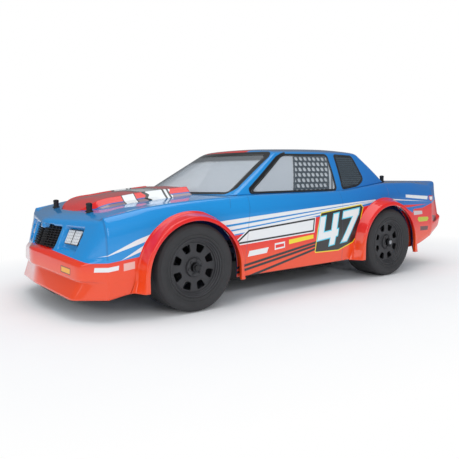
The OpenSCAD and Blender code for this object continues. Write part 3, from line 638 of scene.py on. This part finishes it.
def hood_height(x, y):
    """The hood's own height under the bulge."""
    w, c, _ = lines(y)
    edge = c + 0.9
    return edge + (centre_line(y) - edge) * (1 - np.abs(x / (w - 11)) ** 2.2)


rail = np.clip((crest_z - 100) * 0.12, 0, 0.7)
wall_x = np.minimum(crest + chamfer * 1.1, foot - 2)
bulge_keys = np.stack([np.stack([x, bulge_y, z], -1) for x, z in (
    (crest * 0, crest_z - rail + 0.9 * np.clip((crest_z - 94) / 8, 0, 1)), (crest - 4.5, crest_z - rail),
    (crest - 3.2, crest_z - 0.1), (crest, crest_z),
    (wall_x, np.maximum(crest_z - chamfer, hood_height(wall_x, bulge_y) + 0.3)),
    (foot, hood_height(foot, bulge_y) - 0.5))], 1)
bulge_keys[..., 1] -= np.linspace(0, 1, len(bulge_y))[:, None] ** 6 * 1.0
bulge_spans = (10, 3, 4, 6, 6)
bulge = fillet(bulge_keys, (1.0, 0.8, 1.2, 1.0), bulge_spans, 4)
across = np.interp(np.arange(bulge.shape[1]), (0, 12, 19, 26.5, 37, bulge.shape[1] - 1),
                   (0, 0.8, 0.9, 1, 2, 3))
front_cap = bulge[:1] * [1, 1, 1] - [0, 1.0, 2.2]
rear_drop = bulge[-1:].copy()
rear_drop[..., 1] += 5.5
rear_drop[..., 2] = np.minimum(rear_drop[..., 2], 104.0)
bulge = np.concatenate([front_cap, bulge, rear_drop])

far = 100.0
parts = [part(skirt, arch_field(skirt[..., 1], skirt[..., 2], 3.0), 0, far), part(hood, None, 2, far),
         part(deck, None, 2, far), part(ledge, None, 2, far), part(cabin, open_field, 4, open_field),
         part(bulge, None, 3, np.broadcast_to(across, bulge.shape[:2]))]
parts += [part(p, None, 1, far) for p in flares]
shell = joined("painted_body_shell", parts)
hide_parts("body_shell")
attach(shell, "root")

# ---- Body paint ----
# Lacquer sprayed on the back of the clear sheet, so the colours sit under a smooth gloss and
# their edges are knife-sharp; blue above, orange-red below, with stripes and blank stickers.
BLUE, DEEP_BLUE = srgb(0, 146, 222), srgb(0, 112, 194)
RED, ORANGE = srgb(238, 22, 16), srgb(248, 72, 10)
WHITE, BLACK, YELLOW, CYAN = srgb(240, 243, 244), srgb(16, 16, 18), srgb(250, 226, 20), srgb(90, 214, 240)
# The grey-tan is painted reflection and shade, laid over the bulge's blue lower wall outside each rail.
REFLECTED_TAN_SHADE, INSIDE = srgb(150, 128, 136), srgb(16, 44, 112)


def plane(a, b):
    """Two sockets as the first two parts of a vector."""
    return a.node("ShaderNodeCombineXYZ", None, i0=a, i1=b)


def outline(flat, corners):
    """Signed distance in millimetres outside a convex outline on a flat vector socket."""
    pts = np.array(corners, float)
    nxt = np.roll(pts, -1, 0)
    turn = np.sign(np.sum(pts[:, 0] * nxt[:, 1] - nxt[:, 0] * pts[:, 1]))
    normal = np.stack([nxt[:, 1] - pts[:, 1], pts[:, 0] - nxt[:, 0]], -1) * turn
    normal /= np.linalg.norm(normal, axis=1, keepdims=True)
    out = None
    for (nx, ny), (px, py) in zip(normal.tolist(), pts.tolist()):
        d = flat.node("ShaderNodeVectorMath", {"operation": "DOT_PRODUCT"}, output=1, i0=flat, i1=(nx, ny, 0))
        d = d - (nx * px + ny * py)
        out = d if out is None else out.max(d)
    return out


def inside(flat, corners, soft=0.15):
    """1 inside a convex outline."""
    return outline(flat, corners).below(0.0, soft)


def band(value, low, high, soft=0.15):
    """1 where the value lies between low and high."""
    return ((value - (low + high) / 2).abs()).below((high - low) / 2, soft)


def line_field(y, z, points):
    """Height above a smooth line through (y, z) points, fitted as a parabola."""
    c2, c1, c0 = np.polyfit(*np.array(points, float).T, 2).tolist()
    return z - ((y * c2 + c1) * y + c0)


def lacquer(name, **shader):
    """Gloss over paint: shared settings, then fine unevenness in gloss and surface."""
    material, place = new_material(name, Roughness=0.32, Coat_Weight=1.0, Coat_Roughness=0.04,
                                   Coat_IOR=1.5, Specular_IOR_Level=0.4, **shader)
    speck = noise(place, 0.9, 4.0)
    drive(material, Roughness=speck * 0.12 + 0.27)
    return material, place


def trace_of(material):
    """The value kept on each point of a mesh."""
    return add_node(material, "ShaderNodeAttribute", {"attribute_name": "trace"}, output=2)


def paints(place):
    """The blue, darker towards the tail, and the orange-red, orange low down and red higher up, over the whole
    body.
    """
    x, y, z = split(place)
    cloud = noise(place, 0.03, 3.0)
    blue = mix((y + cloud * 40 + 70).math("DIVIDE", 220.0, clamp=True), BLUE, DEEP_BLUE)
    red = mix(((z + cloud * 6 - 46) * 0.05).math("MULTIPLY", 1.0, clamp=True), ORANGE, RED)
    return x, y, z, blue, red


def grooves(material, lines_mask, place, depth=0.00025):
    """Pressed lines and a faint ripple in the sheet."""
    ripple = noise(place, 0.05, 2.0) * 0.25
    drive(material, Normal=bump(ripple - lines_mask, 0.5, depth))


side_paint, place = lacquer("side_paint")
x, y, z, blue, red = paints(place)
wide, side_view, front_view = x.abs(), plane(y, z), plane(x.abs(), z)
tail_zone = (-y).below(-(rear_axle + 8))
rising = z - ((y - 8) * 0.105 + 79.5)
nose_line = z - (62.7 - wide * 0.106)
main_blue = (-(rising.min(nose_line))).below(0.0) * (1 - tail_zone)
tail_low = z - ((y - 191) * 0.033 + 80.4).max((y - 215) * 0.238 + 81.2)
tail_notch = inside(side_view, [(120, 87.4), (225, 85.8), (166, 82.4), (120, 80)])
tail_tip = inside(side_view, [(172, 84), (190, 75.4), (193, 81.2)])
tail_blue = ((-tail_low).below(0.0) * (1 - tail_notch)).max(tail_tip)
colour = mix(main_blue.max(tail_blue * tail_zone), red, blue)
middle = band(y, -135, 112)
stripe_lines = [
    [(-120, 82.9), (-88, 84.8), (-14, 89.4), (52, 93.1), (103, 95.4)],
    [(-120, 78.6), (-88, 80.2), (-14, 85.9), (52, 91.0), (103, 94.2)],
    [(-120, 76.6), (-88, 78.2), (-14, 84.5), (52, 90.2), (103, 93.8)],
    [(-120, 73.0), (-88, 74.7), (-14, 82.0), (52, 88.8), (103, 93.0)],
    [(-120, 71.4), (-88, 73.3), (-14, 80.8), (52, 88.0), (103, 92.6)],
    [(-120, 67.9), (-88, 69.9), (-14, 78.6), (52, 86.6), (103, 92.0)]]
edges = [line_field(y, z, points) for points in stripe_lines]
white = sum((edges[i].below(0.0) * (-edges[i + 1]).below(0.0) for i in (0, 2, 4)), 0.0) * middle
for corners in ([(140, 95.9), (225, 89.6), (140, 94.2)],
                [(-243, 58.4), (-212, 71.4), (-196, 76.3), (-196, 71.6), (-216, 65.8)],
                [(-227, 54.9), (-203, 67.4), (-203, 62.6)]):
    white = white.max(inside(side_view, corners))
colour = mix(white, colour, WHITE)

for start, end in ((35.0, 50.9), (30.3, 47.4), (21.4, 43.3)):
    slope = (end - start) / 104.5
    bar = (z - ((y + 101) * slope + start)).abs().below(1.35, 0.2) * band(y, -104, 8)
    colour = mix(bar, colour, BLACK)

plate = outline(side_view, [(-88.5, 73.4), (7.5, 80.3), (4.8, 62.8), (-103, 57.3), (-105, 62)])
colour = mix(plate.below(0.0), colour, WHITE)
colour = mix(plate.below(-1.2), colour, BLACK)
colour = mix(plate.below(-3.0), colour, WHITE)
stickers = [
    ([(-33.8, 57.6), (3.1, 60.6), (3.1, 56.3), (-33.7, 52.8)], YELLOW),
    ([(-88, 50.5), (-62.3, 52.2), (-64.8, 46.4), (-90, 44.8)], WHITE),
    ([(-54, 55.4), (-39.6, 56.4), (-39.5, 49.8), (-54, 48.4)], WHITE),
    ([(-52.8, 53.6), (-40.8, 54.5), (-40.8, 51.2), (-52.8, 50.1)], RED),
    ([(174, 100.2), (227, 96.6), (226, 92.0), (174, 96.4)], WHITE),
    ([(229.5, 97.3), (243.5, 96.6), (242.3, 91.5), (236, 88.8), (230.5, 92.5)], srgb(214, 22, 40)),
    ([(232, 96.0), (241.4, 95.5), (240.6, 92.3), (236, 90.4), (232.3, 93)], WHITE),
    ([(192, 78.0), (213, 77.2), (214, 72.6), (193, 72.2)], srgb(214, 200, 204)),
    ([(204, 69), (228, 68.2), (230, 65.5), (226, 62.4), (206, 62.6), (202.5, 65.5)], srgb(198, 204, 30)),
    ([(241, 69.8), (254, 68.2), (253.5, 61.8), (247, 59.6), (242, 62)], srgb(120, 14, 16)),
    ([(209, 56.2), (229, 55.4), (228.5, 50), (210, 50.2)], srgb(92, 16, 16)),
    ([(-246, 49.2), (-228.5, 50.9), (-229, 47.0), (-246.5, 45.2)], WHITE),
    ([(-224.4, 52.0), (-214, 53.2), (-214, 46.8), (-224.4, 45.5)], srgb(244, 190, 180))]
for corners, tint in stickers:
    colour = mix(inside(side_view, corners), colour, tint)

# Number panel: black with a yellow edge; the figures read the right way on both sides.
panel_corners = [(12.6, 84.2), (84.5, 91.4), (88.8, 87.6), (76.6, 53), (69.5, 46), (44.5, 38.6), (7, 39.3),
                 (3, 43.4), (9.5, 64.9)]
PANEL_MID, LEAN = 43.0, 0.22
panel = outline(side_view, panel_corners)
colour = mix(panel.below(0.0), colour, YELLOW)
colour = mix(panel.below(-1.1), colour, BLACK)
facing = (-x).below(0.0, 0.5) * 2 - 1
read_y = (y - PANEL_MID) * facing
figures = plane(read_y - (z - 64) * LEAN * facing, z)
strokes = [
    [(-31, 60), (-23, 60), (-23, 80), (-31, 79)], [(-31, 53), (1, 56.5), (1, 64), (-31, 60.5)],
    [(-10, 46), (-2, 47), (-2, 82.5), (-10, 81.5)],
    [(6, 76), (33, 79), (33, 86.5), (6, 83.5)], [(24.5, 79), (33, 80), (19, 49), (10, 48)]]
figure = None
for corners in strokes:
    stroke = outline(figures, corners)
    figure = stroke if figure is None else figure.min(stroke)
colour = mix(figure.below(1.3), colour, CYAN)
colour = mix(figure.below(0.0), colour, WHITE)

# The nose's marker lamps and the dam's centre, then the pressed panel lines, darkened with painted shade.
amber = outline(front_view, [(58, 48), (74, 46.6), (74, 40.4), (58, 41.8)])
front_zone = y.below(nose_y + 30)
colour = mix(amber.below(0.0) * front_zone, colour, srgb(120, 40, 10))
colour = mix(amber.below(-0.9) * front_zone, colour, srgb(252, 178, 20))


def crease_line(offset, above=None):
    """A thin line where the offset is 0, drawn only over a height where one is given."""
    line = offset.abs().below(0.35, 0.4)
    return line if above is None else line * (-z).below(-above)


shaded_pressed_lines = ((y + 238.4).abs().below(0.45, 0.4) * (-z).below(-56.0)).max(crease_line(y + 86.6 - (z - 90) * 0.13)).max(
    crease_line(y - 51.8)).max(crease_line(y + 108.5 - (z - 100) * 0.3, 95.0)).max(crease_line(y - 156.5 + (z - 108) * 0.45, 97.0))
# Painted shade: the pressed lines are darkened towards deep blue, as shade in their creases.
colour = mix(shaded_pressed_lines * 0.35, colour, srgb(20, 60, 110))
drive(side_paint, Base_Color=colour)
grooves(side_paint, shaded_pressed_lines, place)

flare_paint, place = lacquer("flare_paint")
x, y, z, blue, red = paints(place)
drive(flare_paint, Base_Color=red)
grooves(flare_paint, band(z, 55.6, 56.0), place)

top_paint, place = lacquer("top_paint")
x, y, z, blue, red = paints(place)
drive(top_paint, Base_Color=blue)
grooves(top_paint, (y + 108.5 + (x.abs() - 107) * 0.4).abs().below(0.35, 0.4), place)

bulge_paint, place = lacquer("bulge_paint")
x, y, z, blue, red = paints(place)
trace = trace_of(bulge_paint)
jag = y + ((x.abs() * 0.9).math("SINE")) * 1.4
colour = mix((-trace).below(-1.9, 0.03), RED, srgb(24, 92, 176))
# Painted reflection and shade: the blue lower wall below the thin blue line is coloured grey-tan.
colour = mix((-trace).below(-2.3, 0.03), colour, REFLECTED_TAN_SHADE)
patch = band(y, -193, -181) * (-trace).below(-1.02, 0.03)
colour = mix(band(y, -194, -180) * (-trace).below(-0.98, 0.03), colour, BLACK)
colour = mix(patch, colour, WHITE)
colour = mix(band(jag, -171, -164), colour, BLACK)
colour = mix(band(jag, -167, -143), colour, WHITE)
colour = mix(band(y, -150.5, -148.2).max(band(y, -145.6, -143.4)), colour, BLACK)
drive(bulge_paint, Base_Color=colour)
grooves(bulge_paint, band(y, -240, -239), place)

cabin_paint, place = lacquer("cabin_paint")
x, y, z, blue, red = paints(place)
trace = trace_of(cabin_paint)
colour = mix((x.abs() + (y + 30) * 0.25).below(44.0, 1.0) * y.below(-22.0, 6.0) * (-z).below(-151.0), blue, RED)
on_screen = (y - (z - 107) * 1.62).below(-80.0, 1.0) * (-z).below(-112.0, 2.0)
rim_width = on_screen * 2.4 + 1.2
colour = mix((trace - rim_width).below(0.0, 0.2), colour, BLACK)
drive(cabin_paint, Base_Color=colour)
grooves(cabin_paint, (trace - rim_width).abs().below(0.3, 0.3), place)

shell_back, place = new_material("shell_back", Roughness=0.55)
cloud = noise(place, 0.06, 4.0)
drive(shell_back, Base_Color=mix(cloud, INSIDE, srgb(24, 62, 140)), Roughness=cloud * 0.2 + 0.45)
for paint in (side_paint, flare_paint, top_paint, bulge_paint, cabin_paint):
    shell.data.materials.append(paint)
thicken(shell, sheet_wall, shell_back)

# ---- Windows ----
# The same clear sheet left unpainted: it fills each cut-out edge to edge. A dark band shades the
# windshield's top, a printed net covers the back of each door window, the quarters are louvred.
def glass_base(name, tint, alpha):
    """Clear or smoked sheet: mostly see-through, stronger where seen edge-on."""
    material, place = new_material(name, Base_Color=tint, Roughness=0.06, Coat_Weight=1.0, Coat_Roughness=0.02)
    rim = add_node(material, "ShaderNodeFresnel", None, IOR=1.45)
    haze = noise(place, 0.05, 3.0) * 0.06
    return material, place, (rim * 0.75 + haze + alpha)


CLEAR, CLEAR_FACE = (0.85, 0.9, 0.94, 1), (0.8, 0.86, 0.92, 1)
screen_glass, place, see = glass_base("windshield_glass", CLEAR, 0.08)
x, y, z = split(place)
dark = (-z).below(-144.0, 0.6) * 0.75
dark = dark.max(trace_of(screen_glass).below(1.2, 0.2))
drive(screen_glass, Base_Color=mix(dark, CLEAR_FACE, BLACK), Alpha=see.max(dark))

door_glass, place, see = glass_base("door_glass", CLEAR, 0.08)
x, y, z = split(place)
u, v = (y * (1 / 7.2)), (z * (1 / 6.2))
row = v.math("FLOOR").math("MODULO", 2.0).abs() * 0.5
cell_u, cell_v = ((u + row).math("FRACT") - 0.5).abs(), (v.math("FRACT") - 0.5).abs()
web = (-(cell_u.max(cell_v * 0.9 + cell_u * 0.35))).below(-0.34, 0.03)
leaning = y + (z - 130) * -0.44
net_zone = (-leaning).below(4.4, 0.2) * leaning.below(66.0, 0.2)
frame_line = (leaning - -3.2).abs().below(0.9, 0.2).max((leaning - 52).abs().below(0.8, 0.2)).max(
    (leaning - 58).abs().below(0.8, 0.2))
net = (web * net_zone * leaning.below(52.0, 0.2)).max(frame_line)
edge = trace_of(door_glass).below(1.3, 0.2)
drive(door_glass, Base_Color=mix(edge, mix(net, CLEAR_FACE, srgb(74, 84, 92)), BLACK),
      Alpha=see.max(net * 0.92).max(edge))

quarter_glass, place, see = glass_base("quarter_glass", (0.02, 0.024, 0.03, 1), 0.86)
x, y, z = split(place)
slat = (z * (1 / 2.4)).math("FRACT")
edge = trace_of(quarter_glass).below(1.6, 0.2)
drive(quarter_glass, Base_Color=mix(edge, mix(slat.below(0.5, 0.1), srgb(44, 54, 62), srgb(66, 78, 86)), BLACK),
      Alpha=see.max(edge), Normal=bump(slat, 0.5, 0.0006))

back_glass, place, see = glass_base("back_glass", CLEAR, 0.1)
edge = trace_of(back_glass).below(2.4, 0.2)
drive(back_glass, Base_Color=mix(edge, CLEAR_FACE, BLACK), Alpha=see.max(edge))

for name, key, node, finish, slot_name in (
        ("windshield_pane", "screen", "windshield", screen_glass, "clear_window"),
        ("door_panes", "door", "door_windows", door_glass, "clear_window"),
        ("quarter_panes", "quarter", "quarter_windows", quarter_glass, "smoked_window"),
        ("rear_window_pane", "back", "rear_window", back_glass, "clear_window")):
    pane = joined(name, [part(cabin, -fields[key], 0, -fields[key])])
    pane.data.materials.append(finish)
    thicken(pane, 0.9)
    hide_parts(node)
    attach(pane, "root")

# ---- Grille and lamps ----
# A black moulded grille of slats and uprights set back in each half of the nose, and a pair of
# square lamp lenses behind one clear cover on each side. Both are clipped in from behind.
def fascia_y(x, z):
    """The nose panel's face at a height and distance from the centre line."""
    t = (z - 62.5) / 17
    low, high = 6.5 + 15.0 * np.abs(x) / 85.5, 13 + 18.5 * np.abs(x) / 98
    return nose_y + low + (high - low) * t


def tube(points, radius, sides=8, up=(0, 0, 1), flat=1.0):
    """Quads round a path: rings stand across it, squashed along the up side by flat."""
    p = np.asarray(points, float)
    along = np.gradient(p, axis=0)
    along /= np.linalg.norm(along, axis=1, keepdims=True)
    side = np.cross(along, up)
    side /= np.linalg.norm(side, axis=1, keepdims=True)
    rise = np.cross(side, along)
    turn = np.linspace(0, 2 * np.pi, sides + 1)
    ring = p[:, None] + radius * (np.cos(turn)[None, :, None] * side[:, None]
                                  + flat * np.sin(turn)[None, :, None] * rise[:, None])
    return np.concatenate([p[:1, None] + 0 * ring[:1], ring, p[-1:, None] + 0 * ring[:1]])


grille_parts = []
for height in np.arange(61.6, 80, 2.3):
    bar_x = np.linspace(3.2, 35.2 + (height - 59) * 0.28, 14)
    bar = np.stack([bar_x, fascia_y(bar_x, height) + 3.6, bar_x * 0 + height], -1)
    grille_parts.append(part(tube(bar, 1.1, flat=0.45)))
for out in (9.5, 16, 22.5, 29):
    bar_z = np.linspace(59.6, 81.4, 12)
    bar = np.stack([bar_z * 0 + out, fascia_y(out, bar_z) + 4.2, bar_z], -1)
    grille_parts.append(part(tube(bar, 0.6, up=(1, 0, 0))))
plate_x, plate_z = np.meshgrid(np.linspace(0, 46, 50), np.linspace(56, 86, 36))
back_plate = np.stack([plate_x, fascia_y(plate_x, plate_z) + 5.1, plate_z], -1)
grille_parts.append(part(back_plate, -convex(plate_x, plate_z, grille_outline, 2.0) + 0.6))
grille = joined("nose_grille", grille_parts)


def moulded(name, low, high, scale, gloss, relief, cloud=None):
    """Moulded plastic between two display greys: fine grain tilts it, and grain or wide clouds shade it."""
    material, place = new_material(name)
    grain = noise(place, scale, 5.0)
    shade = noise(place, cloud, 3.0) if cloud else grain
    drive(material, Base_Color=mix(shade, srgb(*low), srgb(*high)), Roughness=grain * gloss[0] + gloss[1],
          Normal=bump(grain, *relief))
    return material


grille_black = moulded("grille_black", (14, 14, 16), (30, 30, 33), 1.4, (0.3, 0.3), (0.25, 0.0001))
grille.data.materials.append(grille_black)
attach(grille, "root")

lens_outline = [(47.5, 66), (71.5, 65.6), (73.5, 79.2), (48, 79.4)]
lens_x, lens_z = np.meshgrid(np.linspace(45, 77, 66), np.linspace(63, 82, 44))
lens_gap = convex(lens_x, lens_z, lens_outline, 1.2)
dome = np.sqrt(np.clip(-lens_gap, 0, 2.0)) * 0.5
lens_points = np.stack([lens_x, fascia_y(lens_x, lens_z) + 3.4 - dome, lens_z], -1)
lens = joined("head_lamps", [part(lens_points, -lens_gap, 0, -lens_gap)])
lamp_face, place = lacquer("lamp_face")
x, y, z = split(place)
wide = x.abs()
colour = mix(noise(place, 0.4, 3.0), srgb(226, 230, 234), srgb(246, 248, 250))


def lattice(value, pitch):
    """1 on the thin lines between cells of this pitch."""
    return (((value * (1 / pitch)).math("FRACT") - 0.5).abs() - 0.5).abs().below(0.07, 0.04)


rib = lattice(wide - 48.3, 2.9).max(lattice(z - 66, 2.6))
colour = mix(rib * 0.55, colour, srgb(70, 76, 84))
colour = mix((wide - 60.3 - (z - 72) * 0.05).abs().below(0.7, 0.15), colour, BLACK)
colour = mix(trace_of(lamp_face).below(0.9, 0.15), colour, BLACK)
drive(lamp_face, Base_Color=colour, Normal=bump(rib, 0.3, 0.0003))
lens.data.materials.append(lamp_face)
thicken(lens, 2.2)
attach(lens, "root")

# ---- Wheels ----
# A soft rubber tyre glued on a moulded nylon wheel: eight rounded windows through a sunk disc,
# two rings round it, and six moulded studs on the hub. Each pair rides on its own wheel body.
def lathe(profile, centre, side, turns=160):
    """A profile of (distance out from the car's middle, radius) turned about a wheel's axle."""
    p = np.asarray(profile, float)
    theta = np.linspace(0, 2 * np.pi, turns + 1)
    y, z = (c + wave(theta)[:, None] * p[:, 1] for c, wave in zip(centre, (np.cos, np.sin)))
    return np.stack([np.broadcast_to(side * p[:, 0], (turns + 1, len(p))), y, z], -1)


def rounded(points, reach, turn=4):
    """A profile with its corners rounded."""
    keys = np.array([(a, b, 0.0) for a, b in points])
    return fillet(keys, [reach] * (len(keys) - 2), [2] * (len(keys) - 1), turn)[:, :2]


tyre_r, rim_r, out_face, in_face, disc_at = 42.0, 28.1, 122.9, 81.1, 115.4
half_tyre = [(out_face - 2.0, rim_r), (out_face - 1.2, 28.8), (out_face - 0.6, 30.6), (out_face - 1.3, 31.3),
             (out_face - 0.9, 32.2), (out_face, 35.0), (out_face - 0.3, 38.2), (out_face - 2.4, 40.9),
             (out_face - 5.2, 41.85), (out_face - 9, tyre_r)]
middle_x = (out_face + in_face) / 2
tread = [(middle_x + 9.6, tyre_r), (middle_x + 9.2, tyre_r - 0.5), (middle_x + 8.6, tyre_r - 0.5),
         (middle_x + 8.2, tyre_r)]
tyre_profile = half_tyre + tread + [(2 * middle_x - a, b) for a, b in (half_tyre + tread)[::-1]]
rim_profile = [(in_face + 2, rim_r - 2.2), (in_face + 1.2, rim_r - 1.0), (in_face + 1.2, rim_r + 0.1),
               (out_face - 2.4, rim_r + 0.1),
               (out_face - 1.7, rim_r - 0.4), (out_face - 1.9, rim_r - 1.5), (out_face - 3.6, rim_r - 2.0),
               (out_face - 4.0, rim_r - 2.9), (out_face - 5.4, rim_r - 3.3), (out_face - 5.6, rim_r - 4.1),
               (disc_at + 0.5, 23.6), (disc_at, 23.1)]
hub_profile = [(disc_at, 9.8), (disc_at + 0.3, 9.3), (disc_at + 2.2, 8.9), (disc_at + 2.9, 8.2),
               (disc_at + 2.9, 5.0), (disc_at + 1.5, 4.6), (disc_at + 1.5, 2.6)]
back_profile = [(disc_at - 1.8, 24.2), (in_face + 2, rim_r - 2.2)]
hub_back = [(disc_at - 1.8, 8.5), (101.5, 8.0), (101.5, 2.6)]
stud_profile = [(disc_at + 2.8, 1.25), (disc_at + 4.1, 1.2), (disc_at + 4.4, 0.8), (disc_at + 4.4, 0.01)]
slot_shape = [(14.4, -2.9), (14.4, 2.9), (22.1, 4.8), (22.1, -4.8)]
disc_r, disc_theta = np.linspace(9.8, 23.1, 40), np.linspace(0, 2 * np.pi, 385)
turned = (disc_theta[:, None] + 0 * disc_r) % (np.pi / 4) - np.pi / 8
slot_gap = convex(disc_r * np.cos(turned), disc_r * np.sin(turned), slot_shape, 1.7)

# A slot's own edge, found along rays from its middle, for the walls through the disc.
slot_middle, disc_wall = [18.2, 0], 1.8
ray = np.linspace(0, 2 * np.pi, 61)
ray_out = np.stack([np.cos(ray), np.sin(ray)], -1)
reach = np.linspace(0, 6, 400)
probe = slot_middle + ray_out[:, None] * reach[None, :, None]
hit = reach[(convex(probe[..., 0], probe[..., 1], slot_shape, 1.7) > 0).argmax(1)]
slot_edge = slot_middle + ray_out * hit[:, None]

rubber, place = new_material("tyre_rubber", Roughness=0.7)
grain, scuff = noise(place, 1.6, 5.0), noise(place, 0.12, 4.0)
drive(rubber, Base_Color=mix(scuff, srgb(42, 42, 44), srgb(60, 60, 62)), Roughness=scuff * 0.25 + 0.55,
      Normal=bump(grain + scuff * 0.6, 0.25, 0.00015))
nylon = moulded("wheel_nylon", (50, 50, 53), (66, 66, 69), 2.2, (0.2, 0.38), (0.2, 0.0001), 0.08)

for end, axle in (("front", front_axle), ("rear", rear_axle)):
    for side_name, side in (("left", 1), ("right", -1)):
        corner, centre = f"{end}_{side_name}", (axle, axle_z)
        tyre = joined(f"{corner}_tyre_carcass", [part(lathe(rounded(tyre_profile, 0.5), centre, side, 200))],
                      mirrored=False)
        tyre.data.materials.append(rubber)
        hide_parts(f"{corner}_tyre")
        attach(tyre, f"{corner}_wheel_set")
        disc = np.stack([0 * turned + side * disc_at, axle + disc_r * np.cos(disc_theta[:, None]),
                         axle_z + disc_r * np.sin(disc_theta[:, None])], -1)
        wheel_parts = [part(disc, slot_gap), part(disc - [side * disc_wall, 0, 0], slot_gap)]
        for angle in np.arange(8) * np.pi / 4 + np.pi / 8:
            y = axle + slot_edge[:, 0] * np.cos(angle) - slot_edge[:, 1] * np.sin(angle)
            z = axle_z + (slot_edge[:, 0] * np.sin(angle) + slot_edge[:, 1] * np.cos(angle))
            wheel_parts.append(part(np.stack([np.stack([y * 0 + side * (disc_at - d), y, z], -1)
                                              for d in (0, disc_wall / 2, disc_wall)])))
        for profile in (rounded(rim_profile, 0.35), rounded(hub_profile, 0.35), back_profile, hub_back):
            wheel_parts.append(part(lathe(profile, centre, side)))
        for angle in np.arange(6) * np.pi / 3 + 0.2:
            stud = (axle + 6.9 * np.cos(angle), axle_z + 6.9 * np.sin(angle))
            wheel_parts.append(part(lathe(stud_profile, stud, side, 12)))
        wheel = joined(f"{corner}_wheel_moulding", wheel_parts, mirrored=False, weld=0.06)
        wheel.data.materials.append(nylon)
        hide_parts(f"{corner}_wheel")
        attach(wheel, f"{corner}_wheel_set")

# ---- Posts and springs ----
# Domed ends and collars on the nylon body posts; a coil spring of steel wire round each damper.
collar = np.array([(0, 3.9), (0.9, 3.9), (1.3, 3.3), (1.3, 2.9)])
knob = np.array([(-0.6, 2.85), (-0.1, 3.1), (0.5, 3.1), (1.3, 2.6), (1.8, 1.5), (1.95, 0.01)])
post_x = 50
post_parts = []
for post_y, base, tip in ((nose_y + 44, 94.0, 101.0), (tail_y - 69, 116.5, 123.5)):
    for profile in (collar + [base, 0], knob + [tip, 0]):
        turned_up = lathe(profile, (post_x, post_y), 1, 48)
        post_parts.append(part(turned_up[..., [1, 2, 0]]))
caps = joined("post_ends", post_parts)
post_nylon = moulded("post_nylon", (18, 18, 20), (34, 34, 37), 2.0, (0.25, 0.35), (0.25, 0.0001))
caps.data.materials.append(post_nylon)
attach(caps, "root")

spring_steel, place = new_material("spring_steel", Metallic=1.0, Roughness=0.35)
wear = noise(place, 0.5, 4.0)
drive(spring_steel, Base_Color=mix(wear, (0.42, 0.43, 0.45, 1), (0.62, 0.63, 0.65, 1)),
      Roughness=wear * 0.25 + 0.22)
eye_z, coil_r, wire_r, turns = 29.1, 7.0, 0.7, 7.5
spring_parts = []
for y, low_x, high_x, high_z in ((front_axle - 23, 58, 41, 79), (rear_axle + 23, 60.2, 38, 94)):
    low, high = np.array([low_x, y, eye_z]), np.array([high_x, y, high_z], float)
    axis = (high - low) / np.linalg.norm(high - low)
    across_1 = np.array([0, 1.0, 0])
    across_2 = np.cross(axis, across_1)
    t = np.linspace(0, 1, 260)
    angle = t * 2 * np.pi * turns
    coil = np.cos(angle)[:, None] * across_1 + np.sin(angle)[:, None] * across_2
    path = low + (high - low) * (0.26 + 0.5 * t)[:, None] + coil_r * coil
    spring_parts.append(part(tube(path, wire_r, up=axis)))
springs = joined("damper_springs", spring_parts)
springs.data.materials.append(spring_steel)
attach(springs, "root")

# ---- Chassis finishes ----
# The machined and moulded parts under the body keep their shape; each whose CAD material is named in finishes
# takes a worked finish.
chassis_nylon = moulded("chassis_nylon", (20, 20, 22), (36, 36, 39), 1.8, (0.3, 0.35), (0.3, 0.00015), 0.05)


def brushed(name, low, high, roughness):
    """Metal with fine scratches along one way and cloudy wear."""
    metal, at = new_material(name, Metallic=1.0, Roughness=roughness)
    stretched = at.node("ShaderNodeVectorMath", {"operation": "MULTIPLY"}, i0=at, i1=(0.15, 2.5, 2.5))
    scratch, worn = noise(stretched, 1.5, 5.0), noise(at, 0.15, 3.0)
    drive(metal, Base_Color=mix(worn, low, high), Roughness=scratch * 0.25 + roughness - 0.1,
          Normal=bump(scratch, 0.15, 0.0001))
    return metal


wrap, place = new_material("battery_film", Roughness=0.3, Coat_Weight=0.5, Coat_Roughness=0.1)
x, y, z = split(place)
crease = noise(place, 0.12, 5.0)
drive(wrap, Base_Color=mix(band(y, -20, 34), mix(crease, srgb(24, 30, 44), srgb(36, 44, 62)), srgb(150, 156, 164)),
      Roughness=crease * 0.2 + 0.22, Normal=bump(crease, 0.4, 0.0005))
finishes = {"chassis_plastic": chassis_nylon, "wheel_plastic": nylon, "tyre": rubber, "battery_wrap": wrap,
            "steel": brushed("satin_steel", (0.36, 0.37, 0.39, 1), (0.5, 0.51, 0.53, 1), 0.34),
            "black_steel": brushed("black_steel", (0.03, 0.03, 0.034, 1), (0.07, 0.07, 0.075, 1), 0.42),
            "aluminium": brushed("satin_aluminium", (0.56, 0.57, 0.6, 1), (0.72, 0.73, 0.75, 1), 0.32)}
for node in frame["nodes"].values():
    for index, old in enumerate(node.data.materials):
        key = old.name.split(".")[0] if old else ""
        if key in finishes:
            node.data.materials[index] = finishes[key]
